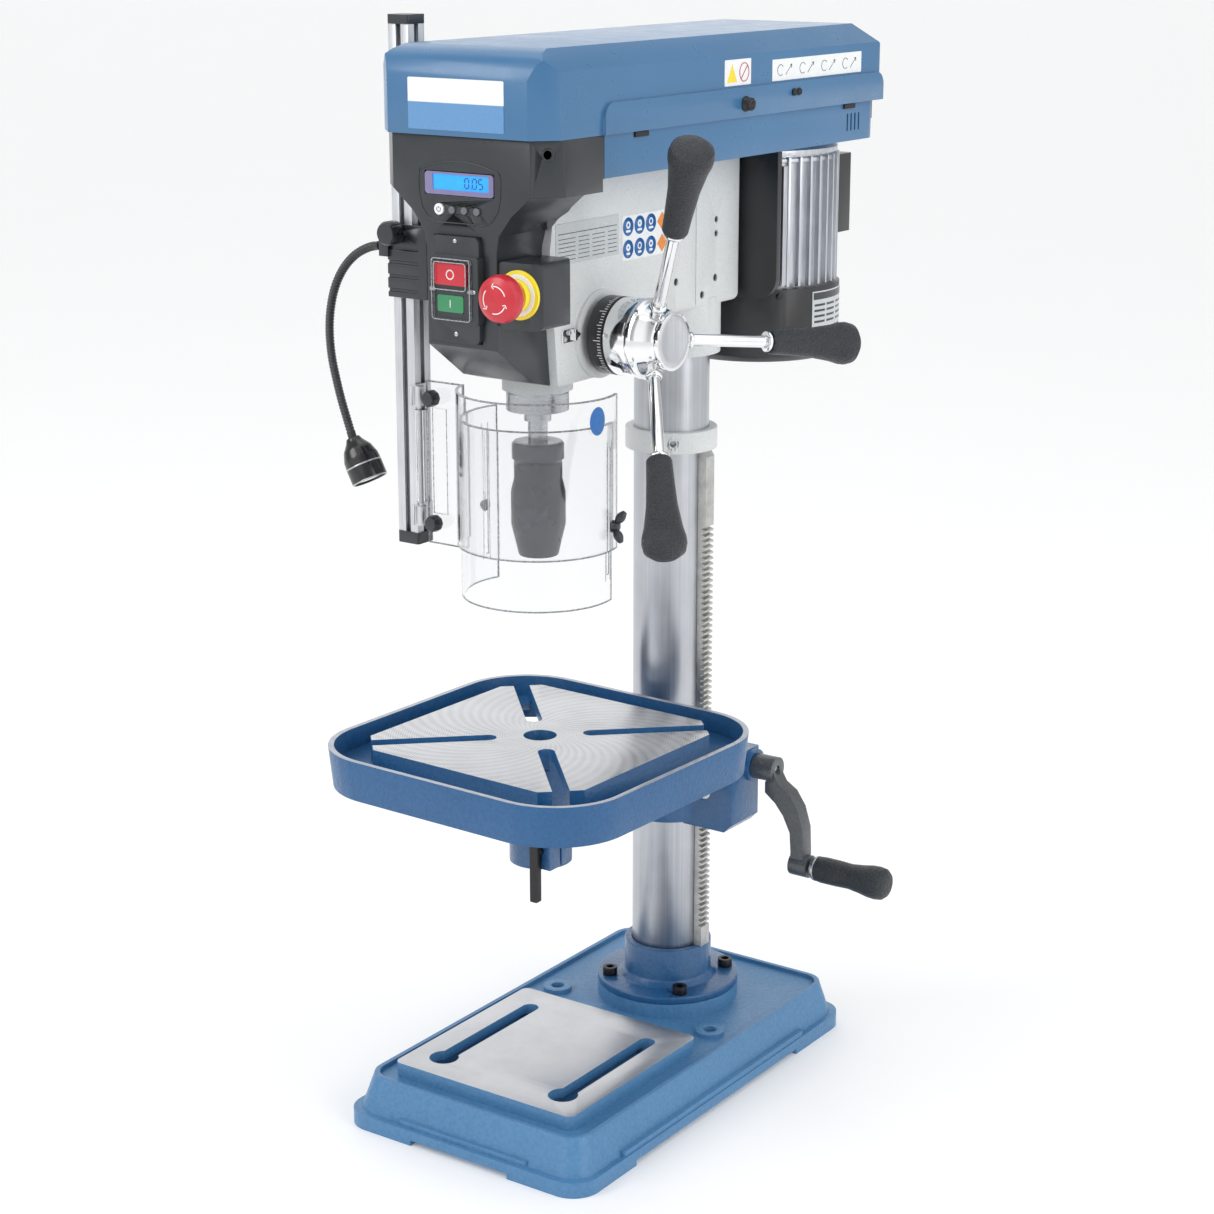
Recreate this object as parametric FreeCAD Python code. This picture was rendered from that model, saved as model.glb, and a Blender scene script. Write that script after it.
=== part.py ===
import FreeCAD, Part
import math
import os

os.makedirs("parts", exist_ok=True)

# Bench drill press, millimetres, +Z up, the operator stands on the -Y side.
# Everything below is drawn from the axis of the column, with the bench at z = 0.
# save() then moves it back by BOLT_LINE_TO_COLUMN, so that the origin of the
# finished part is the midpoint between the two bench bolt holes.

# ---- driving dimensions ----
BOLT_LINE_TO_COLUMN = 71.0      # column axis behind the line of the bench bolts
RUN = 0.05                      # radial clearance of a running fit
GAP = 0.3                       # space between other faces that pass each other

# base
FOOT_HALF = 153.5
FOOT_FRONT = -386.0
FOOT_REAR = 138.0
FOOT_LEDGE_Z = 16.5
RIM_HALF = 137.0
RIM_FRONT = -366.0
RIM_REAR = 121.5
RIM_Z = 54.0
RIM_WIDTH = 5.0
FLOOR_Z = 49.5
BASE_WALL = 9.0
SKIRT_LIFT = 6.0                # underside of the skirt between the feet
PLATE_HALF = 113.8
PLATE_FRONT = -346.4
PLATE_REAR = -115.6
PLATE_Z = 65.5
SLOT_X = 77.0
SLOT_FRONT = -309.0
SLOT_REAR = -157.0
SLOT_WIDTH = 18.5
SLOT_HEAD_R = 15.5
BENCH_HOLE_X = 102.0
BENCH_HOLE_R = 7.25
BENCH_BOSS_R = 16.0

# column
COLUMN_R = 40.0
COLUMN_BORE_R = 36.0
COLUMN_TOP = 950.0
FLANGE_R = 78.8
FLANGE_TOP = 73.65
FLANGE_COLLAR_R = 48.25
FLANGE_COLLAR_TOP = 116.0
FLANGE_SCREW_PCR = 66.0
RING_BOTTOM = 677.0
RING_TOP = 699.5
RING_R = 49.0

# rack and table drive
RACK_MODULE = 2.0
RACK_FACE_X = 49.5
RACK_HALF = 8.0
RACK_BOTTOM = 116.3
RACK_TOP = 676.7
RACK_TEETH_FROM = 138.0
RACK_TEETH_COUNT = 73
PINION_TEETH = 12
WHEEL_TEETH = 22
WHEEL_Z = RACK_TEETH_FROM + math.pi * RACK_MODULE * 26.5    # a pinion tooth faces a rack gap
WORM_Y = 20.0
WORM_Z = 331.0

# table
SPINDLE_Y = -239.4
TABLE_TURN = -2.0               # degrees, as it stands
TABLE_HALF = 175.0
TABLE_CORNER_R = 78.0
TABLE_RIM_Z = 416.6
TABLE_BOTTOM_Z = 374.7
TABLE_RIM_WIDTH = 6.0
TABLE_PLATE_Z = 417.5
TABLE_PLATE_HALF = 137.0
TABLE_PLATE_CUT = 105.0
TABLE_PLATE_THICK = 13.5
TABLE_SLOT_WIDTH = 17.0
TABLE_SLOT_INNER = 41.0
TABLE_HOLE_R = 17.0
STEM_R = 24.0
LEVER_X = 30.0
LEVER_Z = 312.0

# head
HEAD_HALF = 50.0
HEAD_TOP = 989.0
HEAD_REAR = 58.0
HEAD_COLLAR_R = 51.0
HEAD_COLLAR_Z = 780.0
PAN_TOP = 1029.0
PAN_HALF = 103.0
PAN_FRONT = -272.0
PAN_REAR = 247.0
LID_TOP = 1109.5
PANEL_Y = -357.0

# quill, spindle and chuck
QUILL_R = 30.0
CHUCK_NOSE = 608.5
JAW_LEAN = math.radians(15)
JAW_R = 2.8
FEED_Y = -203.0
FEED_Z = 830.2
FEED_TEETH = 15
FEED_MODULE = 1.5

# motor
MOTOR_Y = 168.0
IDLER_Y = -45.0

# pulleys: groove radii run from the bottom of the stack to its top
PULLEY_Z = 1034.0
GROOVES = 4
GROOVE_PITCH = 16.0
GROOVE_DEPTH = 7.0
SPINDLE_RADII = (72, 62, 52, 42)
IDLER_RADII = (38, 48, 58, 68)
MOTOR_RADII = (27, 35, 43, 51)
SHAFT_R = 8.0                   # motor shaft and idler post
DRIVE_BORE_R = 12.2             # bore of the spindle's drive sleeve

# guard
POST_X = -148.0
POST_Y = -250.0
POST_SIDE = 25.0
GUARD_HINGE_X = -127.0
GUARD_HINGE_Y = -267.0

# lamp: the flexible arm runs through these points (x, z)
LAMP_Y = -262.0
LAMP_ROUTE = ((-178, 905), (-192, 902), (-210, 893), (-226, 878), (-238, 858), (-245, 834), (-247, 810), (-245, 786),
              (-240, 764), (-234, 743), (-227, 723), (-220, 704))

# display buttons: distance from the middle plane and radius
BUTTON_Z = 961.0
BUTTON_PLACES = ((-25, 5.2), (-10, 3.4), (4.5, 3.4), (19, 3.4))

V = FreeCAD.Vector
X_AXIS = V(1, 0, 0)
Y_AXIS = V(0, 1, 0)
Z_AXIS = V(0, 0, 1)
COLUMN_AXIS = V(0, 0, 0)
SPINDLE_AXIS = V(0, SPINDLE_Y, 0)


# ---- helpers ----
def box(x0, x1, y0, y1, z0, z1):
    """A block between two opposite corners."""
    return Part.makeBox(x1 - x0, y1 - y0, z1 - z0, V(x0, y0, z0))


def rod(radius, start, end):
    """A round bar from one point to another."""
    start = V(*start)
    along = V(*end) - start
    return Part.makeCylinder(radius, along.Length, start, along)


def post(radius, x, y, z0, z1):
    """An upright round bar."""
    return Part.makeCylinder(radius, z1 - z0, V(x, y, z0), Z_AXIS)


def tube(outer, inner, x, y, z0, z1):
    """An upright tube."""
    return post(outer, x, y, z0, z1).cut(post(inner, x, y, z0 - 1, z1 + 1))


def cone(r0, r1, start, end):
    """A round bar that tapers from r0 to r1."""
    start = V(*start)
    along = V(*end) - start
    return Part.makeCone(r0, r1, along.Length, start, along)


def outline(points):
    """A flat face inside a closed row of points."""
    points = [V(*p) for p in points]
    return Part.Face(Part.makePolygon(points + [points[0]]))


def prism_x(points, x0, x1):
    """(y, z) outline pushed along X."""
    return outline([(x0, y, z) for y, z in points]).extrude(V(x1 - x0, 0, 0))


def prism_y(points, y0, y1):
    """(x, z) outline pushed along Y."""
    return outline([(x, y0, z) for x, z in points]).extrude(V(0, y1 - y0, 0))


def prism_z(points, z0, z1):
    """(x, y) outline pushed along Z."""
    return outline([(x, y, z0) for x, y in points]).extrude(V(0, 0, z1 - z0))


def turned(profile, base, axis):
    """A closed (radius, height) outline spun round an axis through base."""
    face = outline([(r, 0, h) for r, h in profile])
    solid = face.revolve(COLUMN_AXIS, Z_AXIS, 360)
    solid.Placement = FreeCAD.Placement(V(*base), FreeCAD.Rotation(Z_AXIS, axis))
    return solid


def round_corners(shape, radius, axis=Z_AXIS, where=None):
    """Fillet the straight edges that run along an axis."""
    edges = []
    for edge in shape.Edges:
        if not isinstance(edge.Curve, Part.Line):
            continue
        if abs(abs(edge.tangentAt(edge.FirstParameter).dot(axis)) - 1) > 0.001:
            continue
        if where is None or where(edge.CenterOfMass):
            edges.append(edge)
    return shape.makeFillet(radius, edges)


def slab(x0, x1, y0, y1, z0, z1, radius):
    """A block with rounded upright edges."""
    return round_corners(box(x0, x1, y0, y1, z0, z1), radius)


def rounded_wire(half, front, rear, radius, z):
    """The outline of a rounded oblong at one height."""
    face = round_corners(box(-half, half, front, rear, z, z + 1), radius)
    low = min(face.Faces, key=lambda f: f.CenterOfMass.z)
    return low.OuterWire


def taper(half0, front0, rear0, radius0, z0, half1, front1, rear1, radius1, z1):
    """A rounded oblong block whose walls lean in."""
    low = rounded_wire(half0, front0, rear0, radius0, z0)
    high = rounded_wire(half1, front1, rear1, radius1, z1)
    return Part.makeLoft([low, high], True, True)


def hex_bar(flats, start, axis, length):
    """A hexagon bar, used for sockets."""
    radius = flats / 2 / math.cos(math.pi / 6)
    corners = []
    for step in range(6):
        angle = math.radians(60 * step)
        corners.append((radius * math.cos(angle), radius * math.sin(angle), 0))
    bar = outline(corners).extrude(V(0, 0, length))
    bar.Placement = FreeCAD.Placement(V(*start), FreeCAD.Rotation(Z_AXIS, axis))
    return bar


def socket_screw(head_r, head_h, shank_r, shank_l, flats, seat, axis):
    """A cap screw: its head rises from seat along axis, its shank goes the other way."""
    seat = V(*seat)
    head = Part.makeCylinder(head_r, head_h, seat, axis)
    shank = Part.makeCylinder(shank_r, shank_l, seat - axis * shank_l, axis)
    depth = head_h * 0.55
    socket = hex_bar(flats, tuple(seat + axis * (head_h - depth)), axis, depth + 1)
    return head.fuse(shank).cut(socket)


def around(shape, count, centre, axis=Z_AXIS, first=0.0):
    """Copies of a shape set evenly round an axis."""
    copies = []
    for step in range(count):
        copy = shape.copy()
        copy.rotate(centre, axis, first + 360.0 * step / count)
        copies.append(copy)
    return copies


def fuse(shapes):
    """One solid from several that meet."""
    result = shapes[0]
    for shape in shapes[1:]:
        result = result.fuse(shape)
    return result.removeSplitter()


def spur_gear(module, teeth, thickness, backlash, start, axis):
    """A spur gear with straight-sided teeth, cut thin by the backlash."""
    pitch_r = module * teeth / 2.0
    root_r = pitch_r - 1.25 * module
    tip_r = pitch_r + 0.95 * module
    step = 2 * math.pi / teeth
    half_pitch = (math.pi * module / 4 - backlash / 2) / pitch_r
    half_root = half_pitch * 1.45
    half_tip = half_pitch * 0.45
    points = []
    for tooth in range(teeth):
        middle = tooth * step
        for radius, side in ((root_r, -half_root), (tip_r, -half_tip), (tip_r, half_tip), (root_r, half_root)):
            points.append((radius * math.cos(middle + side), radius * math.sin(middle + side), 0))
    gear = outline(points).extrude(V(0, 0, thickness))
    gear.Placement = FreeCAD.Placement(V(*start), FreeCAD.Rotation(Z_AXIS, axis))
    return gear


def save(name, shapes):
    """Write one node, moved so that the origin is between the bench bolts."""
    if not isinstance(shapes, list):
        shapes = [shapes]
    solids = []
    for shape in shapes:
        for solid in shape.Solids:
            moved = solid.copy()
            moved.translate(V(0, BOLT_LINE_TO_COLUMN, 0))
            solids.append(moved)
    result = solids[0] if len(solids) == 1 else Part.makeCompound(solids)
    for solid in solids:
        if not solid.isValid() or solid.Volume < 1:
            print("BAD SOLID", name, solid.isValid(), solid.Volume)
    result.exportStep("parts/" + name + ".step")
    print(name, len(solids), round(sum(s.Volume for s in solids) / 1000.0, 1))


# ---- base and column ----
def flange_screw_places():
    """The four screws of the column foot, on the diagonals."""
    places = []
    for step in range(4):
        angle = math.radians(45 + 90 * step)
        places.append((FLANGE_SCREW_PCR * math.cos(angle), FLANGE_SCREW_PCR * math.sin(angle)))
    return places


def make_base():
    """Ribbed cast base: four feet, a sunken floor, a slotted plate and the column seat."""
    ledge = slab(-FOOT_HALF, FOOT_HALF, FOOT_FRONT, FOOT_REAR, 0, FOOT_LEDGE_Z, 30)
    walls = taper(147, -378, 131, 27, FOOT_LEDGE_Z, RIM_HALF, RIM_FRONT, RIM_REAR, 24, RIM_Z)
    arches = [
        slab(-82, 82, -381, -300, 3, 22.5, 4),
        slab(-FOOT_HALF + 1.5, FOOT_HALF - 1.5, -306, 46, 3, 22.5, 4),
        slab(-82, 82, 40, 134, 3, 22.5, 4),
    ]
    body = fuse([ledge, walls] + arches)
    dish = slab(-RIM_HALF + RIM_WIDTH, RIM_HALF - RIM_WIDTH, RIM_FRONT + RIM_WIDTH, RIM_REAR - RIM_WIDTH,
                FLOOR_Z, RIM_Z + 1, 20)
    body = body.cut(dish)
    inner = BASE_WALL
    hollow = taper(147 - inner, -378 + inner, 131 - inner, 18, -1,
                   RIM_HALF - inner, RIM_FRONT + inner, RIM_REAR - inner, 16, FLOOR_Z - inner)
    body = body.cut(hollow)
    notches = [
        box(-62, 62, FOOT_FRONT - 5, -340, -1, SKIRT_LIFT),
        box(-62, 62, 100, FOOT_REAR + 5, -1, SKIRT_LIFT),
        box(-FOOT_HALF - 5, -120, -288, 28, -1, SKIRT_LIFT),
        box(120, FOOT_HALF + 5, -288, 28, -1, SKIRT_LIFT),
    ]
    for notch in notches:
        body = body.cut(notch)
    plate = slab(-PLATE_HALF, PLATE_HALF, PLATE_FRONT, PLATE_REAR, FLOOR_Z - 9, PLATE_Z, 8)
    seat = post(FLANGE_R, 0, 0, FLOOR_Z - 14, PLATE_Z)
    bosses = [post(BENCH_BOSS_R, side * BENCH_HOLE_X, -BOLT_LINE_TO_COLUMN, 0, 54.5) for side in (-1, 1)]
    ribs = [box(-RIM_HALF + 5, RIM_HALF - 5, y - 4, y + 4, SKIRT_LIFT + 6, FLOOR_Z - 4) for y in (-115, -352)]
    ribs += [box(x - 4, x + 4, RIM_FRONT + 6, RIM_REAR - 6, SKIRT_LIFT + 6, FLOOR_Z - 4) for x in (-46, 46)]
    body = fuse([body, plate, seat] + bosses + ribs)
    for side in (-1, 1):
        x = side * SLOT_X
        body = body.cut(box(x - SLOT_WIDTH / 2, x + SLOT_WIDTH / 2, SLOT_FRONT, SLOT_REAR, PLATE_Z - 13, PLATE_Z + 1))
        body = body.cut(post(SLOT_WIDTH / 2, x, SLOT_REAR, PLATE_Z - 13, PLATE_Z + 1))
        body = body.cut(post(SLOT_HEAD_R, x, SLOT_FRONT, PLATE_Z - 19, PLATE_Z + 1))
        body = body.cut(box(x - SLOT_HEAD_R, x + SLOT_HEAD_R, SLOT_FRONT, SLOT_REAR + 5, PLATE_Z - 19, PLATE_Z - 11))
        body = body.cut(post(BENCH_HOLE_R, side * BENCH_HOLE_X, -BOLT_LINE_TO_COLUMN, -1, RIM_Z + 5))
    for x, y in flange_screw_places():
        body = body.cut(post(5, x, y, FLOOR_Z - 9, PLATE_Z + 1))
    return body


def make_flange():
    """The foot that holds the column, with four screw holes."""
    low = post(FLANGE_R, 0, 0, PLATE_Z, FLANGE_TOP)
    collar = post(FLANGE_COLLAR_R, 0, 0, FLANGE_TOP, FLANGE_COLLAR_TOP)
    weld = cone(FLANGE_COLLAR_R + 6, FLANGE_COLLAR_R, (0, 0, FLANGE_TOP), (0, 0, FLANGE_TOP + 6))
    body = fuse([low, collar, weld])
    body = body.cut(post(COLUMN_R, 0, 0, PLATE_Z - 1, FLANGE_COLLAR_TOP + 1))
    for x, y in flange_screw_places():
        body = body.cut(post(5.5, x, y, PLATE_Z - 1, FLANGE_TOP + 1))
    return body


def make_flange_screws():
    """Four M10 cap screws."""
    return [socket_screw(8, 9, 5, 26, 8, (x, y, FLANGE_TOP), Z_AXIS) for x, y in flange_screw_places()]


def make_ring():
    """The collar that holds the top of the rack against the column."""
    ring = tube(RING_R, COLUMN_R, 0, 0, RING_BOTTOM, RING_TOP)
    hole = Part.makeCylinder(3.5, 15, V(0, 0, (RING_BOTTOM + RING_TOP) / 2), V(1, -1.4, 0))
    hole.translate(V(1, -1.4, 0).normalize() * (COLUMN_R - 1))
    return ring.cut(hole)


# ---- table drive ----
def make_rack():
    """Rack that turns round the column; its teeth face away from the column."""
    bar = box(COLUMN_R - 6, RACK_FACE_X, -RACK_HALF, RACK_HALF, RACK_BOTTOM, RACK_TOP)
    bar = bar.cut(post(COLUMN_R + GAP, 0, 0, RACK_BOTTOM - 1, RACK_TOP + 1))
    pitch = math.pi * RACK_MODULE
    depth = 2.25 * RACK_MODULE
    outside = RACK_FACE_X + 1
    cutters = []
    for tooth in range(RACK_TEETH_COUNT):
        z = RACK_TEETH_FROM + pitch * (tooth + 0.5)
        wide = pitch / 2 * 0.78 + depth * 0.36
        narrow = pitch / 2 * 0.62
        points = [(RACK_FACE_X - depth, z - narrow / 2), (outside, z - wide / 2 - 0.3),
                  (outside, z + wide / 2 + 0.3), (RACK_FACE_X - depth, z + narrow / 2)]
        cutters.append(prism_y(points, -RACK_HALF - 1, RACK_HALF + 1))
    bar = bar.cut(Part.makeCompound(cutters))
    lead = prism_y([(RACK_FACE_X - 5, RACK_TOP + 1), (RACK_FACE_X + 1, RACK_TOP + 1), (RACK_FACE_X + 1, RACK_TOP - 7)],
                   -RACK_HALF - 1, RACK_HALF + 1)
    return bar.cut(lead)


def pinion_x():
    """Distance of the table pinion's axis from the column axis."""
    return RACK_FACE_X - RACK_MODULE + RACK_MODULE * PINION_TEETH / 2.0 + 0.25


def make_bracket():
    """Cast table bracket: sleeve round the column, gear block, arm and clamp boss."""
    sleeve = post(50, 0, 0, 268, 345)
    block = prism_y([(30, 263), (86, 263), (95, 272), (95, 350), (30, 350)], -22, 33)
    nose = rod(18, (88, WORM_Y, WORM_Z), (100, WORM_Y, WORM_Z))
    back_boss = prism_z([(-26, 40), (26, 40), (22, 58), (-22, 58)], 280, 332)
    arm = prism_x([(-30, 300), (-30, 345), (-150, 362), (SPINDLE_Y, 362), (SPINDLE_Y, 300), (-90, 290)], -22, 22)
    arm = arm.cut(box(10, 40, -195, -60, 296, 350)).cut(box(-40, -10, -195, -60, 296, 350))
    boss = post(32.4, 0, SPINDLE_Y, 284, 366)
    ear = box(8, 42, -281, -250, 292, 332)
    body = fuse([sleeve, block, nose, back_boss, arm, boss, ear])
    body = body.cut(post(COLUMN_R + GAP, 0, 0, 250, 360))
    body = body.cut(box(30, RACK_FACE_X + GAP, -RACK_HALF - GAP, RACK_HALF + GAP, 250, 360))
    px = pinion_x()
    body = body.cut(rod(15, (px, -13, WHEEL_Z), (px, 10.5, WHEEL_Z)))
    body = body.cut(rod(25, (px, 10, WHEEL_Z), (px, 29, WHEEL_Z)))
    body = body.cut(rod(8 + RUN, (px, -30, WHEEL_Z), (px, -12, WHEEL_Z)))
    body = body.cut(rod(8 + RUN, (px, 28, WHEEL_Z), (px, 40, WHEEL_Z)))
    body = body.cut(rod(10, (38, WORM_Y, WORM_Z), (84, WORM_Y, WORM_Z)))
    body = body.cut(rod(6 + RUN, (80, WORM_Y, WORM_Z), (102, WORM_Y, WORM_Z)))
    body = body.cut(post(STEM_R + RUN, 0, SPINDLE_Y, 280, 370))
    body = body.cut(box(14, 50, -264, -261, 280, 370))
    body = body.cut(rod(4 + RUN, (30, -300, 312), (30, -240, 312)))
    return body


def make_worm_wheel():
    """Worm wheel and rack pinion on one cross shaft."""
    px = pinion_x()
    pinion = spur_gear(RACK_MODULE, PINION_TEETH, 21, 1.1, (px, -11, WHEEL_Z), Y_AXIS)
    wheel = spur_gear(1.75, WHEEL_TEETH, 14, 0.9, (px, 13, WHEEL_Z), Y_AXIS)
    shaft = rod(8, (px, -21.5, WHEEL_Z), (px, 32.5, WHEEL_Z))
    return fuse([pinion, wheel, shaft])


def make_worm_shaft():
    """Worm on the crank shaft."""
    shaft = rod(6, (74, WORM_Y, WORM_Z), (125, WORM_Y, WORM_Z))
    profile = [(0, 0)]
    for turn in range(6):
        start = 1 + turn * 5.5
        profile += [(3.2, start), (5.25, start + 1.4), (5.25, start + 3.0), (3.2, start + 4.4)]
    profile += [(6, 35), (0, 35)]
    worm = turned(profile, (40, WORM_Y, WORM_Z), X_AXIS)
    return fuse([worm, shaft])


def make_crank_arm():
    """Cast crank: hub on the shaft, dog-leg arm, and the pin of the grip."""
    hub = rod(14, (101, WORM_Y, WORM_Z), (127, WORM_Y, WORM_Z))
    web = prism_y([(117, 318), (127, 330), (134, 318), (147, 310), (158, 294), (164.8, 272), (166, 245), (166, 228),
                   (150, 228), (150.5, 245), (149, 266), (140, 284), (130, 296), (117, 306)], WORM_Y - 9, WORM_Y + 9)
    boss = rod(12.5, (149, WORM_Y, 229), (171, WORM_Y, 229))
    pin = rod(5, (165, WORM_Y, 229), (262, WORM_Y, 229))
    body = fuse([hub, web, boss, pin])
    bore = rod(6, (90, WORM_Y, WORM_Z), (125, WORM_Y, WORM_Z))
    recess = rod(5, (120, WORM_Y, WORM_Z), (130, WORM_Y, WORM_Z))
    return body.cut(bore).cut(recess)


def make_crank_grip():
    """Pear-shaped grip that turns on the crank pin."""
    profile = [(5 + RUN, 0), (11, 0), (13.2, 3), (14.2, 12), (14.2, 30), (13.6, 45), (15.2, 58), (17.4, 70), (17.8, 78),
               (16.8, 85), (13.5, 89), (8, 91), (0, 91), (0, 87.5), (5 + RUN, 87.5)]
    return turned(profile, (175.5, WORM_Y, 229), X_AXIS)


def make_table():
    """Round-cornered table with a raised slotted plate, a gutter and a stem."""
    walls = taper(TABLE_HALF - 3, SPINDLE_Y - TABLE_HALF + 3, SPINDLE_Y + TABLE_HALF - 3, TABLE_CORNER_R,
                  TABLE_BOTTOM_Z, TABLE_HALF, SPINDLE_Y - TABLE_HALF, SPINDLE_Y + TABLE_HALF, TABLE_CORNER_R, TABLE_RIM_Z)
    inner = TABLE_HALF - TABLE_RIM_WIDTH
    gutter = slab(-inner, inner, SPINDLE_Y - inner, SPINDLE_Y + inner, TABLE_RIM_Z - 22, TABLE_RIM_Z + 1,
                  TABLE_CORNER_R - TABLE_RIM_WIDTH)
    under = slab(-inner + 3, inner - 3, SPINDLE_Y - inner + 3, SPINDLE_Y + inner - 3, TABLE_BOTTOM_Z - 1,
                 TABLE_RIM_Z - 30, TABLE_CORNER_R - TABLE_RIM_WIDTH - 3)
    a = TABLE_PLATE_HALF
    c = TABLE_PLATE_CUT
    corners = [(a, c), (c, a), (-c, a), (-a, c), (-a, -c), (-c, -a), (c, -a), (a, -c)]
    plate = prism_z([(x, y + SPINDLE_Y) for x, y in corners], TABLE_RIM_Z - 24, TABLE_PLATE_Z)
    pocket = slab(-126, 126, SPINDLE_Y - 126, SPINDLE_Y + 126, TABLE_BOTTOM_Z - 1,
                  TABLE_PLATE_Z - TABLE_PLATE_THICK, 55)
    hub = post(46, 0, SPINDLE_Y, TABLE_BOTTOM_Z - 8.4, TABLE_PLATE_Z - 5)
    stem = post(STEM_R, 0, SPINDLE_Y, 290, TABLE_BOTTOM_Z)
    ribs = []
    for angle in (0, 90):
        rib = box(-200, 200, SPINDLE_Y - 4, SPINDLE_Y + 4, TABLE_BOTTOM_Z + 2, TABLE_PLATE_Z - 5)
        rib.rotate(SPINDLE_AXIS, Z_AXIS, angle)
        ribs.append(rib.common(walls.cut(gutter).fuse(plate)))
    body = fuse([walls.cut(gutter).cut(under).fuse(plate).cut(pocket), hub, stem] + ribs)
    for angle in (45, 135, 225, 315):
        reach = TABLE_PLATE_HALF * 1.3
        slot = box(TABLE_SLOT_INNER + 12, reach, SPINDLE_Y - TABLE_SLOT_WIDTH / 2, SPINDLE_Y + TABLE_SLOT_WIDTH / 2,
                   TABLE_RIM_Z - 22, TABLE_PLATE_Z + 1)
        end = post(TABLE_SLOT_WIDTH / 2, TABLE_SLOT_INNER + 12, SPINDLE_Y, TABLE_RIM_Z - 22, TABLE_PLATE_Z + 1)
        cutter = slot.fuse(end)
        cutter.rotate(SPINDLE_AXIS, Z_AXIS, angle)
        body = body.cut(cutter)
    body = body.cut(post(TABLE_HOLE_R, 0, SPINDLE_Y, TABLE_RIM_Z - 70, TABLE_PLATE_Z + 1))
    body.rotate(SPINDLE_AXIS, Z_AXIS, TABLE_TURN)
    return body


def make_table_lever():
    """Clamp screw of the table boss, with its flat hanging lever."""
    screw = rod(4, (LEVER_X, -286, LEVER_Z), (LEVER_X, -243, LEVER_Z))
    bar = round_corners(box(LEVER_X - 6.6, LEVER_X + 2.6, -290.5, -283.3, 258, LEVER_Z + 7), 1.5, Y_AXIS)
    return fuse([screw, bar])


# ---- head ----
def make_head():
    """Head casting: column clamp behind, quill barrel in front."""
    body = box(-HEAD_HALF, HEAD_HALF, -203, HEAD_REAR, 831, HEAD_TOP)
    body = round_corners(body, 12, Z_AXIS, lambda p: p.y > 0)
    body = round_corners(body, 8, Y_AXIS, lambda p: p.z < 900)
    upper_front = prism_x([(-203, HEAD_TOP), (-204, 976.5), (-253, 960), (-282, 942), (-286, 919), (-281, 860),
                           (-274, 788), (-205, 788), (-196, HEAD_TOP)], -HEAD_HALF, HEAD_HALF)
    belly = prism_x([(-274, 788), (-120, 788), (-70, 831), (-60, 850), (-274, 850)], -HEAD_HALF, HEAD_HALF)
    belly = round_corners(belly, 9, Y_AXIS, lambda p: p.z < 800)
    collar = post(HEAD_COLLAR_R, 0, 0, HEAD_COLLAR_Z, 840)
    barrel = post(35, 0, SPINDLE_Y, 776, 800)
    feed_boss = rod(43.6, (30, FEED_Y, FEED_Z), (53, FEED_Y, FEED_Z))
    spring_boss = rod(33, (-56, FEED_Y, FEED_Z), (-30, FEED_Y, FEED_Z))
    rear_web = box(-9, 9, HEAD_REAR - 2, HEAD_REAR + 3, 850, 970)
    body = fuse([body, upper_front, belly, collar, barrel, feed_boss, spring_boss, rear_web])
    groove_band = box(-60, 60, -34.5, -31.5, 831, HEAD_TOP + 1)
    core = box(-HEAD_HALF + 1.2, HEAD_HALF - 1.2, -40, -25, 800, HEAD_TOP + 2)
    body = body.cut(box(-HEAD_HALF + 9, HEAD_HALF - 9, -165, -50, 850, HEAD_TOP - 9))
    body = body.cut(groove_band.cut(core))
    body = body.cut(post(COLUMN_R, 0, 0, 760, COLUMN_TOP))
    body = body.cut(post(QUILL_R + RUN, 0, SPINDLE_Y, 760, 962))
    body = body.cut(post(24, 0, SPINDLE_Y, 960, HEAD_TOP + 1))
    body = body.cut(rod(12.8, (-14, FEED_Y, FEED_Z), (14, FEED_Y, FEED_Z)))
    body = body.cut(rod(9 + RUN, (-60, FEED_Y, FEED_Z), (60, FEED_Y, FEED_Z)))
    for z in (905.6, 920):
        body = body.cut(rod(3.5, (HEAD_HALF - 6, 6, z), (HEAD_HALF + 1, 6, z)))
    body = body.cut(rod(4, (HEAD_HALF - 8, -69, 864), (HEAD_HALF + 1, -69, 864)))
    body = body.cut(rod(4, (HEAD_HALF - 14, 5, 860), (HEAD_HALF + 1, 5, 860)))
    body = body.cut(rod(4, (HEAD_HALF - 14, -20, 845), (HEAD_HALF + 1, -20, 845)))
    return body


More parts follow.
